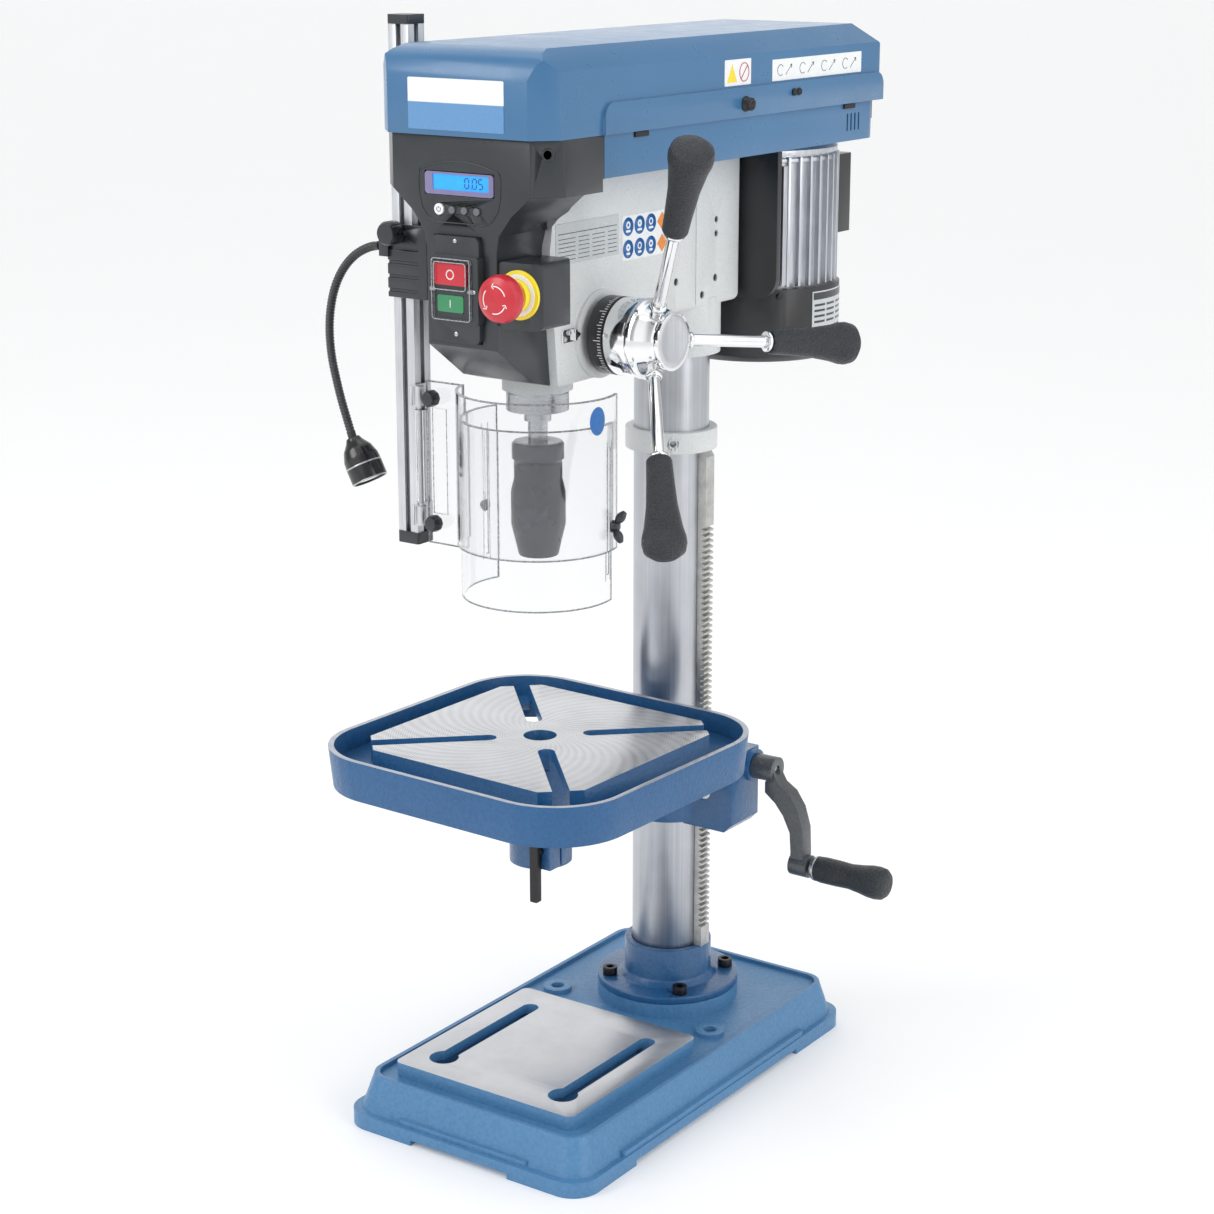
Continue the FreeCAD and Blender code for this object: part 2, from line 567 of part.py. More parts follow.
def make_control_housing():
    """Black moulded housing in front of the head, hollow behind its panel."""
    front = prism_y([(41, 780), (41, 925), (43.3, 939.5), (58, 958.5), (80, 977), (80, 989), (-80, 989), (-80, 977),
                     (-58, 958.5), (-43.3, 939.5), (-41, 925), (-41, 780)], PANEL_Y, -262)
    wings = prism_z([(-80, PANEL_Y), (80, PANEL_Y), (PAN_HALF, -334), (PAN_HALF, -274), (-PAN_HALF, -274),
                     (-PAN_HALF, -334)], 977, HEAD_TOP)
    wedge = box(-HEAD_HALF, HEAD_HALF, -290, -203, 940, HEAD_TOP)
    side = prism_x([(PANEL_Y, HEAD_TOP), (PANEL_Y, 833), (-305, 796), (-274.4, 788), (-281.4, 860), (-286.4, 919),
                    (-282.4, 942.4), (-253.2, 960.4), (-204.2, 976.9), (-203.2, HEAD_TOP)], -120, 120)
    upper = prism_z([(-80, PANEL_Y), (80, PANEL_Y), (PAN_HALF, -334), (PAN_HALF, -272.5), (-PAN_HALF, -272.5),
                     (-PAN_HALF, -334)], HEAD_TOP, PAN_TOP)
    body = fuse([fuse([front, wings, wedge]).common(side), upper])
    body = body.cut(post(26, 0, SPINDLE_Y, 930, 995))
    cavity = prism_z([(-76, PANEL_Y + 4), (76, PANEL_Y + 4), (98, -332), (98, -276), (-98, -276), (-98, -332)],
                     993, PAN_TOP - 3)
    low_cavity = box(-36, 36, PANEL_Y + 4, -291, 850, 995)
    body = body.cut(cavity).cut(low_cavity)
    body = body.cut(box(-42, 39, PANEL_Y - 1, PANEL_Y + 2, 974, 996))
    body = body.cut(box(-32, 24, PANEL_Y - 1, PANEL_Y + 2, 838, 937.5))
    body = body.cut(box(-28.5, 26.5, PANEL_Y - 1, PANEL_Y + 10, 857, 920))
    for x, radius in BUTTON_PLACES:
        body = body.cut(rod(radius + GAP, (x, PANEL_Y - 1, BUTTON_Z), (x, PANEL_Y + 8, BUTTON_Z)))
    body = body.cut(rod(4, (93, -352, 1016), (88, -338, 1016)))
    return body


def make_button(x, radius):
    """One push button of the display, with its collar inside the housing."""
    return rod(radius, (x, PANEL_Y - 1.6, BUTTON_Z), (x, PANEL_Y + 5, BUTTON_Z))


def slab_y(x0, x1, y0, y1, z0, z1, radius):
    """A block with rounded edges along Y."""
    return round_corners(box(x0, x1, y0, y1, z0, z1), radius, Y_AXIS)


def make_switch_plate():
    """Frame plate and body of the no-volt switch."""
    plate = slab_y(-32, 24, PANEL_Y - 5, PANEL_Y + 2, 838, 937.5, 6)
    inner = slab_y(-28.5, 26.5, PANEL_Y - 10, PANEL_Y + 10, 857, 920, 3)
    body = plate.fuse(inner).removeSplitter()
    body = body.cut(box(-23 - GAP, 14 + GAP, PANEL_Y - 12, PANEL_Y + 4, 892.5 - GAP, 912.5 + GAP))
    body = body.cut(box(-21 - GAP, 9.5 + GAP, PANEL_Y - 12, PANEL_Y + 4, 867 - GAP, 883 + GAP))
    for z in (846, 933):
        body = body.cut(rod(2.6, (-4, PANEL_Y - 6, z), (-4, PANEL_Y - 3.5, z)))
    return body


def make_key(x0, x1, z0, z1, stand):
    """A rectangular switch button with rounded corners."""
    return slab_y(x0, x1, PANEL_Y - 10 - stand, PANEL_Y + 1.5, z0, z1, 2)


def make_estop_box():
    """Box of the emergency stop on the right of the housing."""
    body = prism_z([(41.2, -355), (79, -355), (87, -347), (87, -305), (80, -298), (41.2, -298)], 855, 917)
    body = round_corners(body, 5, Y_AXIS)
    body = body.cut(box(46, 82, -350, -303, 860, 912))
    return body.cut(rod(8.3, (66, -360, 888), (66, -340, 888)))


def make_estop_collar():
    """Yellow ring with the fixed neck of the emergency stop."""
    ring = rod(23, (66, -358, 888), (66, -355, 888))
    neck = rod(15, (66, -366, 888), (66, -358, 888))
    tail = rod(8, (66, -355, 888), (66, -344, 888))
    return fuse([ring, neck, tail]).cut(rod(6 + RUN, (66, -370, 888), (66, -340, 888)))


def make_estop_button():
    """Red mushroom button with its stem."""
    cap = turned([(0, 0), (10, 0), (20.5, 3), (22, 6), (22.4, 12), (20.6, 17.5), (15, 20.5), (0, 22)],
                 (66, -373.2, 888), V(0, -1, 0))
    stem = rod(6, (66, -374, 888), (66, -347, 888))
    return fuse([cap, stem])


def chamfered(half, front, rear, chamfer, z0, z1):
    """Box whose two front corners are cut at an angle."""
    points = [(-half + chamfer, front), (half - chamfer, front), (half, front + chamfer), (half, rear),
              (-half, rear), (-half, front + chamfer)]
    return prism_z(points, z0, z1)


def make_belt_pan():
    """Sheet-metal pan under the belts."""
    outer = round_corners(box(-PAN_HALF, PAN_HALF, PAN_FRONT, PAN_REAR, HEAD_TOP, PAN_TOP), 22, Z_AXIS,
                          lambda p: p.y > 0)
    inner = round_corners(box(-PAN_HALF + 2, PAN_HALF - 2, PAN_FRONT + 2, PAN_REAR - 2, HEAD_TOP + 3, PAN_TOP + 1), 20,
                          Z_AXIS, lambda p: p.y > 0)
    body = outer.cut(inner)
    body = body.cut(post(24, 0, SPINDLE_Y, 980, 1000))
    body = body.cut(post(22, 0, MOTOR_Y, 980, 1000))
    vents = []
    for y in (180, 188, 196, 204):
        vents.append(box(PAN_HALF - 8, PAN_HALF + 8, y - 1.5, y + 1.5, 1000, 1018))
        vents.append(box(-PAN_HALF - 8, -PAN_HALF + 8, y - 1.5, y + 1.5, 1000, 1018))
    return body.cut(Part.makeCompound(vents))


def lid_shell(offset):
    """Outer shape of the belt lid, or its inside when offset by the wall."""
    half = PAN_HALF - offset
    front = -362 + offset
    rear = PAN_REAR - offset
    body = chamfered(half, front, rear, 22, PAN_TOP - 5 * (offset > 0), LID_TOP - offset)
    side = prism_y([(-half, 1000), (half, 1000), (half, 1090 - offset), (half - 22, LID_TOP - offset),
                    (-half + 22, LID_TOP - offset), (-half, 1090 - offset)], -400, 300)
    nose = prism_x([(front, 1000), (front, 1082 - offset), (front + 6, 1096 - offset), (front + 16, 1105 - offset),
                    (front + 30, LID_TOP - offset), (rear - 24, LID_TOP - offset), (rear, 1088 - offset),
                    (rear, 1000)], -150, 150)
    return body.common(side).common(nose)


def make_belt_lid():
    """Blue lid over the pulleys, with a lapping skirt at its sides and two hinge tabs."""
    shell = lid_shell(0).cut(lid_shell(2.5))
    skirt = box(-106.5, 106.5, -275, 251, PAN_TOP, 1058.5)
    skirt = round_corners(skirt, 14, X_AXIS, lambda p: p.z > 1040)
    skirt = skirt.cut(box(-PAN_HALF, PAN_HALF, -300, PAN_REAR, 1020, 1070))
    tabs = [rod(5, (x - 14, 256, PAN_TOP + 6), (x + 14, 256, PAN_TOP + 6)) for x in (-60, 60)]
    webs = [box(x - 14, x + 14, 249, 257, PAN_TOP + 1.5, PAN_TOP + 10) for x in (-60, 60)]
    body = fuse([shell, skirt] + tabs + webs)
    for x in (-60, 60):
        body = body.cut(rod(2.5 + RUN, (x - 20, 256, PAN_TOP + 6), (x + 20, 256, PAN_TOP + 6)))
    return body


def make_lid_hinge():
    """Two hinge pins of the lid with their knuckles on the pan."""
    solids = []
    for x in (-60, 60):
        pin = rod(2.5, (x - 28, 256, PAN_TOP + 6), (x + 28, 256, PAN_TOP + 6))
        ears = []
        for side in (-1, 1):
            centre = x + side * 21.5
            ears.append(rod(4.4, (centre - 6, 256, PAN_TOP + 6), (centre + 6, 256, PAN_TOP + 6)))
            ears.append(prism_x([(253.5, PAN_TOP + 6), (260.4, PAN_TOP + 6), (260.4, PAN_TOP - 8),
                                 (253.5, PAN_TOP - 8)], centre - 6, centre + 6))
            ears.append(box(centre - 6, centre + 6, PAN_REAR, 260.4, PAN_TOP - 22, PAN_TOP - 6))
        solids.append(fuse([pin] + ears))
    return solids


def make_spring_housing():
    """Cap of the quill return spring on the left side of the head."""
    cap = turned([(0, 0), (30, 0), (32, 3), (32, 18), (29, 22), (0, 22)], (-56, FEED_Y, FEED_Z), V(-1, 0, 0))
    return cap.cut(rod(9 + RUN, (-82, FEED_Y, FEED_Z), (-50, FEED_Y, FEED_Z))).cut(
        rod(27, (-56, FEED_Y, FEED_Z), (-74, FEED_Y, FEED_Z)))


# ---- feed ----
def make_feed_shaft():
    """Cross shaft with the pinion that lifts the quill."""
    shaft = rod(9, (-80, FEED_Y, FEED_Z), (60, FEED_Y, FEED_Z))
    thin = rod(8, (60, FEED_Y, FEED_Z), (120, FEED_Y, FEED_Z))
    teeth = spur_gear(FEED_MODULE, FEED_TEETH, 24, 1.0, (-12, FEED_Y, FEED_Z), X_AXIS)
    return fuse([shaft, thin, teeth])


def handle_directions():
    """Outward directions of the three feed handles."""
    lean = math.radians(25.4)
    result = []
    for step in range(3):
        angle = math.radians(-6.5 + 120 * step)
        result.append(V(math.sin(lean), math.cos(lean) * math.cos(angle), math.cos(lean) * math.sin(angle)))
    return result


def make_feed_hub():
    """Chrome hub with three threaded seats for the handles."""
    hub = turned([(0, 0), (37, 0), (38.5, 3), (38.5, 22), (37.5, 26), (39.5, 27), (39.5, 31), (36.5, 33), (31, 46),
                  (27.5, 52), (27.5, 54), (28.4, 54), (28.4, 58.5), (0, 58.5)], (77.3, FEED_Y, FEED_Z), X_AXIS)
    hub = hub.cut(rod(8, (70, FEED_Y, FEED_Z), (121, FEED_Y, FEED_Z)))
    for direction in handle_directions():
        start = V(109.8, FEED_Y, FEED_Z) + direction * 20
        hub = hub.cut(Part.makeCylinder(6, 60, start, direction))
    return hub


def make_feed_rods():
    """Three handle rods."""
    start = V(109.8, FEED_Y, FEED_Z)
    return [Part.makeCylinder(6, 190, start + d * 20, d) for d in handle_directions()]


def make_feed_grips():
    """Three grips at the ends of the handle rods."""
    profile = [(6, 0), (11.5, 0), (12.5, 2), (13.2, 20), (15, 50), (18.5, 74), (21, 84), (21.5, 90), (20, 97),
               (14, 102), (6, 104), (0, 104), (0, 74), (6, 74)]
    grips = []
    for direction in handle_directions():
        base = V(109.8, FEED_Y, FEED_Z) + direction * 136
        grips.append(turned(profile, tuple(base), direction))
    return grips


def make_depth_ring():
    """Graduated ring that turns on the feed boss."""
    ring = turned([(9 + 0.5, 0), (38.3, 0), (38.3, 16.7), (9 + 0.5, 16.7)], (60, FEED_Y, FEED_Z), X_AXIS)
    return ring


# ---- quill, spindle, chuck ----
def make_quill():
    """Quill with rack teeth at its back and two bearing seats."""
    body = turned([(0, 0), (QUILL_R, 0), (QUILL_R, 173), (QUILL_R - 1.5, 174.5), (0, 174.5)], (0, SPINDLE_Y, 773.7), Z_AXIS)
    collar = post(31, 0, SPINDLE_Y, 755.7, 773.0)
    body = body.fuse(collar).fuse(post(QUILL_R, 0, SPINDLE_Y, 772, 775)).removeSplitter()
    body = body.cut(post(17.2, 0, SPINDLE_Y, 750, 960))
    for z in (755, 930):
        body = body.cut(post(23.5, 0, SPINDLE_Y, z, z + 19))
    pitch = math.pi * FEED_MODULE
    pitch_line = FEED_Y - FEED_MODULE * FEED_TEETH / 2.0
    tips = pitch_line + FEED_MODULE - 0.1
    roots = pitch_line - 1.5 * FEED_MODULE
    body = body.cut(box(-13, 13, tips, SPINDLE_Y + QUILL_R + 1, 795, 935))
    gaps = []
    for tooth in range(-6, 21):
        z = FEED_Z + pitch * (tooth + 0.25)
        points = [(roots, z - 0.8), (tips + 1, z - 2.0), (tips + 1, z + 2.0), (roots, z + 0.8)]
        gaps.append(prism_x(points, -13, 13))
    return body.cut(Part.makeCompound(gaps))


def make_quill_bearings():
    """Two ball bearings in the quill."""
    return [tube(23.5, 12, 0, SPINDLE_Y, z, z + 14) for z in (760, 930)]


def make_spindle():
    """Spindle: taper for the chuck below, splined shank above."""
    low = turned([(0, 0), (8.4, 0), (9.7, 20), (9.7, 44.5), (13.5, 44.5), (13.5, 60), (12 - RUN, 60), (12 - RUN, 244),
                  (9, 246), (9, 390), (0, 390)], (0, SPINDLE_Y, 700), Z_AXIS)
    keys = [box(-3, 3, SPINDLE_Y - 11.5, SPINDLE_Y - 7, 950, 1085)]
    keys += [box(-3, 3, SPINDLE_Y + 7, SPINDLE_Y + 11.5, 950, 1085)]
    return fuse([low] + keys)


def jaw_line(step):
    """Start of one jaw's axis at the nose, and its direction up and out."""
    angle = math.radians(30 + 120 * step)
    outward = V(math.cos(angle), math.sin(angle), 0)
    start = SPINDLE_AXIS + outward * 7.0 + V(0, 0, CHUCK_NOSE + 2.5)
    return start, outward * math.sin(JAW_LEAN) + Z_AXIS * math.cos(JAW_LEAN)


def make_chuck_body():
    """Chuck core on the spindle taper, with the top collar and three slanting jaw bores."""
    body = turned([(0, 0), (16, 0), (16, 96), (26, 98.5), (26, 113), (24, 115.5), (0, 115.5)],
                  (0, SPINDLE_Y, CHUCK_NOSE), Z_AXIS)
    seat = turned([(0, 0), (8.4, 0), (9.7, 20), (9.7, 60), (0, 60)], (0, SPINDLE_Y, 700), Z_AXIS)
    body = body.cut(seat).cut(post(6.5, 0, SPINDLE_Y, 600, 690))
    for step in range(3):
        start, direction = jaw_line(step)
        bore = Part.makeCylinder(JAW_R + RUN, 44, start - direction * 20, direction)
        body = body.cut(bore)
    return body


def make_chuck_sleeve():
    """Knurled sleeve that tightens the jaws."""
    return turned([(16.0 + RUN, 0.3), (19.5, 0.3), (20, 1.1), (27.3, 32), (27.3, 64), (24.5, 76.5), (24, 77.5),
                   (24, 95), (16.0 + RUN, 95)], (0, SPINDLE_Y, CHUCK_NOSE), Z_AXIS)


def make_chuck_jaw(step):
    """One jaw: a slanting pin with a flat gripping face."""
    start, direction = jaw_line(step)
    pin = Part.makeCylinder(JAW_R, 22, start, direction)
    half_space = box(5.2, 45.2, -20, 20, -5, 60)
    half_space.rotate(COLUMN_AXIS, Z_AXIS, 30 + 120 * step)
    half_space.translate(SPINDLE_AXIS + V(0, 0, CHUCK_NOSE))
    return pin.common(half_space)


# ---- belts and motor ----


def pulley(radii, bore, x, y, z0):
    """A stepped V pulley; radii run from the bottom groove to the top one."""
    profile = [(bore, 0)]
    for index, radius in enumerate(radii):
        base = index * GROOVE_PITCH
        profile += [(radius, base), (radius, base + 1.5), (radius - GROOVE_DEPTH, base + 5),
                    (radius - GROOVE_DEPTH, base + 11),
                    (radius, base + 14.5), (radius, base + GROOVE_PITCH)]
    profile += [(bore, GROOVE_PITCH * len(radii))]
    clean = []
    for point in profile:
        if not clean or point != clean[-1]:
            clean.append(point)
    return turned(clean, (x, y, z0), Z_AXIS)


def make_spindle_pulley():
    """Spindle pulley with its drive sleeve in the head."""
    body = pulley(SPINDLE_RADII, DRIVE_BORE_R, 0, SPINDLE_Y, PULLEY_Z)
    sleeve = tube(20, DRIVE_BORE_R, 0, SPINDLE_Y, 964, PULLEY_Z + 1)
    return fuse([body, sleeve])


def make_idler_post():
    """Pivot post of the idler pulley on the pan."""
    post_body = post(SHAFT_R, 0, IDLER_Y, 992, PULLEY_Z + 66)
    foot = slab(-20, 20, IDLER_Y - 20, IDLER_Y + 20, 992, 997, 5)
    return fuse([post_body, foot])


def make_idler_pulley():
    """Idler pulley between the spindle and the motor."""
    return pulley(IDLER_RADII, SHAFT_R + RUN, 0, IDLER_Y, PULLEY_Z)


def make_motor_pulley():
    """Motor pulley."""
    return pulley(MOTOR_RADII, SHAFT_R, 0, MOTOR_Y, PULLEY_Z)


def belt(y0, r0, y1, r1, level):
    """V belt round two pulleys whose axes stand in line along Y."""
    z0 = PULLEY_Z + level * GROOVE_PITCH + 4.2
    z1 = z0 + 7.6
    lift = GAP + 0.2
    span = y1 - y0
    loops = []
    for extra in (lift, lift + 5.0):
        a = r0 - 7 + 2.2 + extra
        b = r1 - 7 + 2.2 + extra
        lean = math.asin((a - b) / span)
        points = []
        for side in (1, -1):
            points.append((side * a * math.cos(lean), y0 + a * math.sin(lean)))
            points.append((side * b * math.cos(lean), y1 + b * math.sin(lean)))
        quad = prism_z([points[0], points[1], points[3], points[2]], z0, z1)
        loops.append(fuse([quad, post(a, 0, y0, z0, z1), post(b, 0, y1, z0, z1)]))
    return loops[1].cut(loops[0])


def make_motor_plate():
    """Black plate that carries the motor, with its two slide rods."""
    plate = round_corners(box(-89, 89, 62, 70, 831, HEAD_TOP - 0.5), 25, Y_AXIS, lambda p: p.z < 900)
    bridge = box(-30, 30, HEAD_REAR, 62, 850, 970).cut(box(-9, 9, HEAD_REAR - 1, HEAD_REAR + 3, 849, 971))
    return fuse([plate, bridge])


def make_motor_body():
    """Finned motor frame with its end bell and mounting pads."""
    shell = post(82, 0, MOTOR_Y, 836, 977)
    fins = []
    for step in range(40):
        angle = 9 * step
        fin = box(80, 88, -1.5, 1.5, 838, 975)
        fin.translate(V(0, MOTOR_Y, 0))
        fin.rotate(V(0, MOTOR_Y, 0), Z_AXIS, angle)
        if fin.BoundBox.YMin > 84:
            fins.append(fin)
    pads = box(-60, 60, 70, 110, 850, 965)
    shoulder = box(-88, 88, 76, 84, 845, 970)
    bell = turned([(0, 0), (86, 0), (86, 5), (78, 11.5), (0, 11.5)], (0, MOTOR_Y, 977), Z_AXIS)
    body = fuse([shell, pads, shoulder, bell] + fins)
    body = body.cut(post(74, 0, MOTOR_Y, 850, 965))
    body = body.cut(post(9, 0, MOTOR_Y, 830, 995))
    return body


def make_fan_cover():
    """Black cover over the motor's fan."""
    outer = turned([(0, 0), (84, 0), (91, 7), (91, 79), (0, 79)], (0, MOTOR_Y, 757), Z_AXIS)
    inner = turned([(0, 0), (81, 0), (88, 7), (88, 71), (0, 71)], (0, MOTOR_Y, 761), Z_AXIS)
    body = outer.cut(inner)
    vents = []
    for radius, count in ((26, 10), (44, 16), (62, 22)):
        hole = post(4.2, 0, MOTOR_Y + radius, 750, 765)
        vents += around(hole, count, V(0, MOTOR_Y, 0))
    return body.cut(Part.makeCompound(vents)).cut(post(9, 0, MOTOR_Y, 825, 840))


def make_terminal_box():
    """Terminal box behind the motor."""
    outer = round_corners(box(-50, 50, 253.2, 288, 880, 966), 6, Z_AXIS)
    saddle = box(-40, 40, 244, 256, 890, 956).cut(post(88.2, 0, MOTOR_Y, 800, 1000))
    body = outer.fuse(saddle).removeSplitter().cut(post(88.2, 0, MOTOR_Y, 800, 1000))
    return body.cut(box(-46, 46, 262, 284, 884, 962))


def make_motor_rotor():
    """Motor shaft with its rotor and its fan."""
    shaft = post(SHAFT_R, 0, MOTOR_Y, 775, PULLEY_Z + GROOVE_PITCH * GROOVES)
    rotor = post(60, 0, MOTOR_Y, 862, 950)
    disc = post(70, 0, MOTOR_Y, 796, 800)
    blade = box(20, 78, MOTOR_Y - 1.5, MOTOR_Y + 1.5, 798, 822)
    return fuse([shaft, rotor, disc, post(22, 0, MOTOR_Y, 790, 822)] + around(blade, 8, V(0, MOTOR_Y, 0)))


# ---- guard and lamp ----
def make_guard_bracket():
    """Ribbed black bracket that carries the post, the lamp and the shield."""
    plate = box(-163, -113, -268, -234, 856, 929)
    arm = box(-114, -HEAD_HALF, -262, -240, 862, 922)
    lamp_pad = box(-172, -160, -271, -253, 896, 914)
    body = fuse([plate, arm, lamp_pad])
    for z in (905, 891, 877, 863):
        body = body.cut(box(-170, -124, -269, -266.4, z - 1.5, z + 1.5))
    channel = POST_SIDE / 2 + GAP
    body = body.cut(box(POST_X - channel, POST_X + channel, POST_Y - channel, POST_Y + channel, 850, 935))
    return body.cut(rod(3.2, (-150, -280, 921), (-150, -255, 921)))


def make_bracket_knob():
    """Knob that clamps the post in its bracket."""
    knob = turned([(0, 0), (9, 0), (12, 3), (12, 15), (10, 18), (0, 18)], (-150, -269.3, 921), V(0, -1, 0))
    flutes = []
    for step in range(8):
        flute = post(2.2, 13.2, 0, -1, 20)
        flute.rotate(COLUMN_AXIS, Z_AXIS, 45 * step)
        flutes.append(flute)
    cutter = Part.makeCompound(flutes)
    cutter.Placement = FreeCAD.Placement(V(-150, -269, 921), FreeCAD.Rotation(Z_AXIS, V(0, -1, 0)))
    stud = rod(3, (-150, -269.5, 921), (-150, -263.2, 921))
    return knob.cut(cutter).fuse(stud).removeSplitter()


def make_guard_post():
    """Aluminium T-slot profile with two end caps."""
    half = POST_SIDE / 2
    bar = box(-half, half, -half, half, 615, 1122)
    for turn in range(4):
        groove = box(-3.1, 3.1, half - 2.2, half + 1, 600, 1130)
        pocket = box(-6, 6, half - 6, half - 2.1, 600, 1130)
        for cutter in (groove, pocket):
            cutter.rotate(COLUMN_AXIS, Z_AXIS, 90 * turn)
            bar = bar.cut(cutter)
    bar = bar.cut(post(2.5, 0, 0, 600, 1130))
    bar.translate(V(POST_X, POST_Y, 0))
    return bar


def make_post_caps():
    """Plastic caps on both ends of the profile."""
    caps = []
    for z0, z1 in ((603, 615), (1122, 1131)):
        caps.append(slab(POST_X - 13.5, POST_X + 13.5, POST_Y - 13.5, POST_Y + 13.5, z0, z1, 3))
    return caps


def arc_wall(outer, thick, z0, z1, start, end):
    """Part of an upright tube about the spindle axis between two angles."""
    wall = Part.makeCylinder(outer, z1 - z0, V(0, SPINDLE_Y, z0), Z_AXIS, end - start)
    wall = wall.cut(post(outer - thick, 0, SPINDLE_Y, z0 - 1, z1 + 1))
    wall.rotate(SPINDLE_AXIS, Z_AXIS, start)
    return wall


def make_upper_guard():
    """Clear shield: flat leaf clipped to the post and a curved front."""
    curved = arc_wall(81, 3, 620, 775, 195, 380)
    leaf = box(-120.5, -77.5, -264, -261, 608, 775)
    barrel = post(5, GUARD_HINGE_X, GUARD_HINGE_Y, 650, 745)
    body = fuse([curved, leaf, barrel, box(GUARD_HINGE_X, -118, -266, -261, 650, 745)])
    body = body.cut(post(2.5 + RUN, GUARD_HINGE_X, GUARD_HINGE_Y, 600, 780))
    return body


def make_guard_clips():
    """Two hinge clips on the post, with the hinge pin of the shield."""
    clips = []
    side = POST_X + POST_SIDE / 2
    for z0, z1 in ((749, 769), (626, 646)):
        plate = box(side, side + 3, -272, -240, z0, z1)
        ear = post(5, GUARD_HINGE_X, GUARD_HINGE_Y, z0, z1)
        web = box(side, GUARD_HINGE_X, -271, -267, z0, z1)
        clips += [plate, ear, web]
    pin = post(2.5, GUARD_HINGE_X, GUARD_HINGE_Y, 626, 769)
    return fuse(clips + [pin])


def make_lower_guard():
    """Clear inner shield that slides up and down inside the upper one."""
    body = arc_wall(77.4, 3, 568, 748, 160, 375)
    for angle in (172, 368):
        slot = box(70, 90, -2.6, 2.6, 596, 725)
        slot.translate(V(0, SPINDLE_Y, 0))
        slot.rotate(SPINDLE_AXIS, Z_AXIS, angle)
        body = body.cut(slot)
    return body


def make_lamp_arm():
    """Flexible lamp arm: straight runs joined by tangent arcs."""
    points = [V(x, LAMP_Y, z) for x, z in LAMP_ROUTE]
    edges = []
    start = points[0]
    for index in range(1, len(points) - 1):
        before, here, after = points[index - 1], points[index], points[index + 1]
        back = (before - here)
        ahead = (after - here)
        reach = 0.45 * min(back.Length, ahead.Length)
        back.normalize()
        ahead.normalize()
        enter = here + back * reach
        leave = here + ahead * reach
        edges.append(Part.LineSegment(start, enter).toShape())
        turn = back.getAngle(ahead)
        to_centre = (back + ahead).normalize()
        radius = reach * math.tan(turn / 2)
        centre = here + to_centre * (reach / math.cos(turn / 2))
        middle = centre - to_centre * radius
        edges.append(Part.Arc(enter, middle, leave).toShape())
        start = leave
    edges.append(Part.LineSegment(start, points[-1]).toShape())
    route = Part.Wire(edges)
    profile = Part.Wire([Part.makeCircle(4.6, points[0], points[1] - points[0])])
    return route.makePipeShell([profile], True, False)


def lamp_axis():
    """Where the lamp head points."""
    start = V(-220, LAMP_Y, 704)
    return start, V(23.5, 0, -44).normalize()


def make_lamp_head():
    """Bullet-shaped lamp head with a lens recess."""
    start, direction = lamp_axis()
    profile = [(0, 0), (7, 0), (9, 4), (15, 12), (18.5, 22), (19, 30), (19, 46), (17, 47), (17, 43), (0, 43)]
    return turned(profile, tuple(start), direction)


# ---- write every node ----
save("base", make_base())
save("column_flange", make_flange())
save("flange_screws", make_flange_screws())
save("column", tube(COLUMN_R, COLUMN_BORE_R, 0, 0, PLATE_Z, COLUMN_TOP))
save("column_ring", make_ring())
save("rack", make_rack())
save("table_bracket", make_bracket())
save("worm_wheel", make_worm_wheel())
save("worm_shaft", make_worm_shaft())
save("crank_arm", make_crank_arm())
save("crank_grip", make_crank_grip())
save("table", make_table())
save("table_lever", make_table_lever())
save("head_casting", make_head())
save("control_housing", make_control_housing())
save("power_button", make_button(*BUTTON_PLACES[0]))
for number in (1, 2, 3):
    save("display_button_%d" % number, make_button(*BUTTON_PLACES[number]))
save("switch_plate", make_switch_plate())
save("red_button", make_key(-23, 14, 892.5, 912.5, 2))
save("green_button", make_key(-21, 9.5, 867, 883, 0.5))
save("estop_box", make_estop_box())
save("estop_collar", make_estop_collar())
save("estop_button", make_estop_button())
save("belt_pan", make_belt_pan())
save("belt_lid", make_belt_lid())
save("lid_hinges", make_lid_hinge())
save("spring_housing", make_spring_housing())
save("feed_shaft", make_feed_shaft())
save("feed_hub", make_feed_hub())
save("feed_rods", make_feed_rods())
save("feed_grips", make_feed_grips())
save("depth_ring", make_depth_ring())
save("quill", make_quill())
save("quill_bearings", make_quill_bearings())
save("spindle", make_spindle())
save("chuck_body", make_chuck_body())
save("chuck_sleeve", make_chuck_sleeve())
for number in (1, 2, 3):
    save("chuck_jaw_%d" % number, make_chuck_jaw(number - 1))
save("spindle_pulley", make_spindle_pulley())
save("idler_post", make_idler_post())
save("idler_pulley", make_idler_pulley())
save("motor_pulley", make_motor_pulley())
save("belts", [belt(SPINDLE_Y, SPINDLE_RADII[1], IDLER_Y, IDLER_RADII[1], 1),
               belt(IDLER_Y, IDLER_RADII[3], MOTOR_Y, MOTOR_RADII[3], 3)])
save("motor_plate", make_motor_plate())
save("motor_body", make_motor_body())
save("fan_cover", make_fan_cover())
save("terminal_box", make_terminal_box())
save("motor_rotor", make_motor_rotor())
save("guard_bracket", make_guard_bracket())
save("bracket_knob", make_bracket_knob())
save("guard_post", [make_guard_post()] + make_post_caps())
save("guard_clips", make_guard_clips())
save("upper_guard", make_upper_guard())
save("lower_guard", make_lower_guard())
save("lamp_arm", make_lamp_arm())
save("lamp_head", make_lamp_head())
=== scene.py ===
import math

import bmesh
import bpy
from mathutils import Matrix, Vector


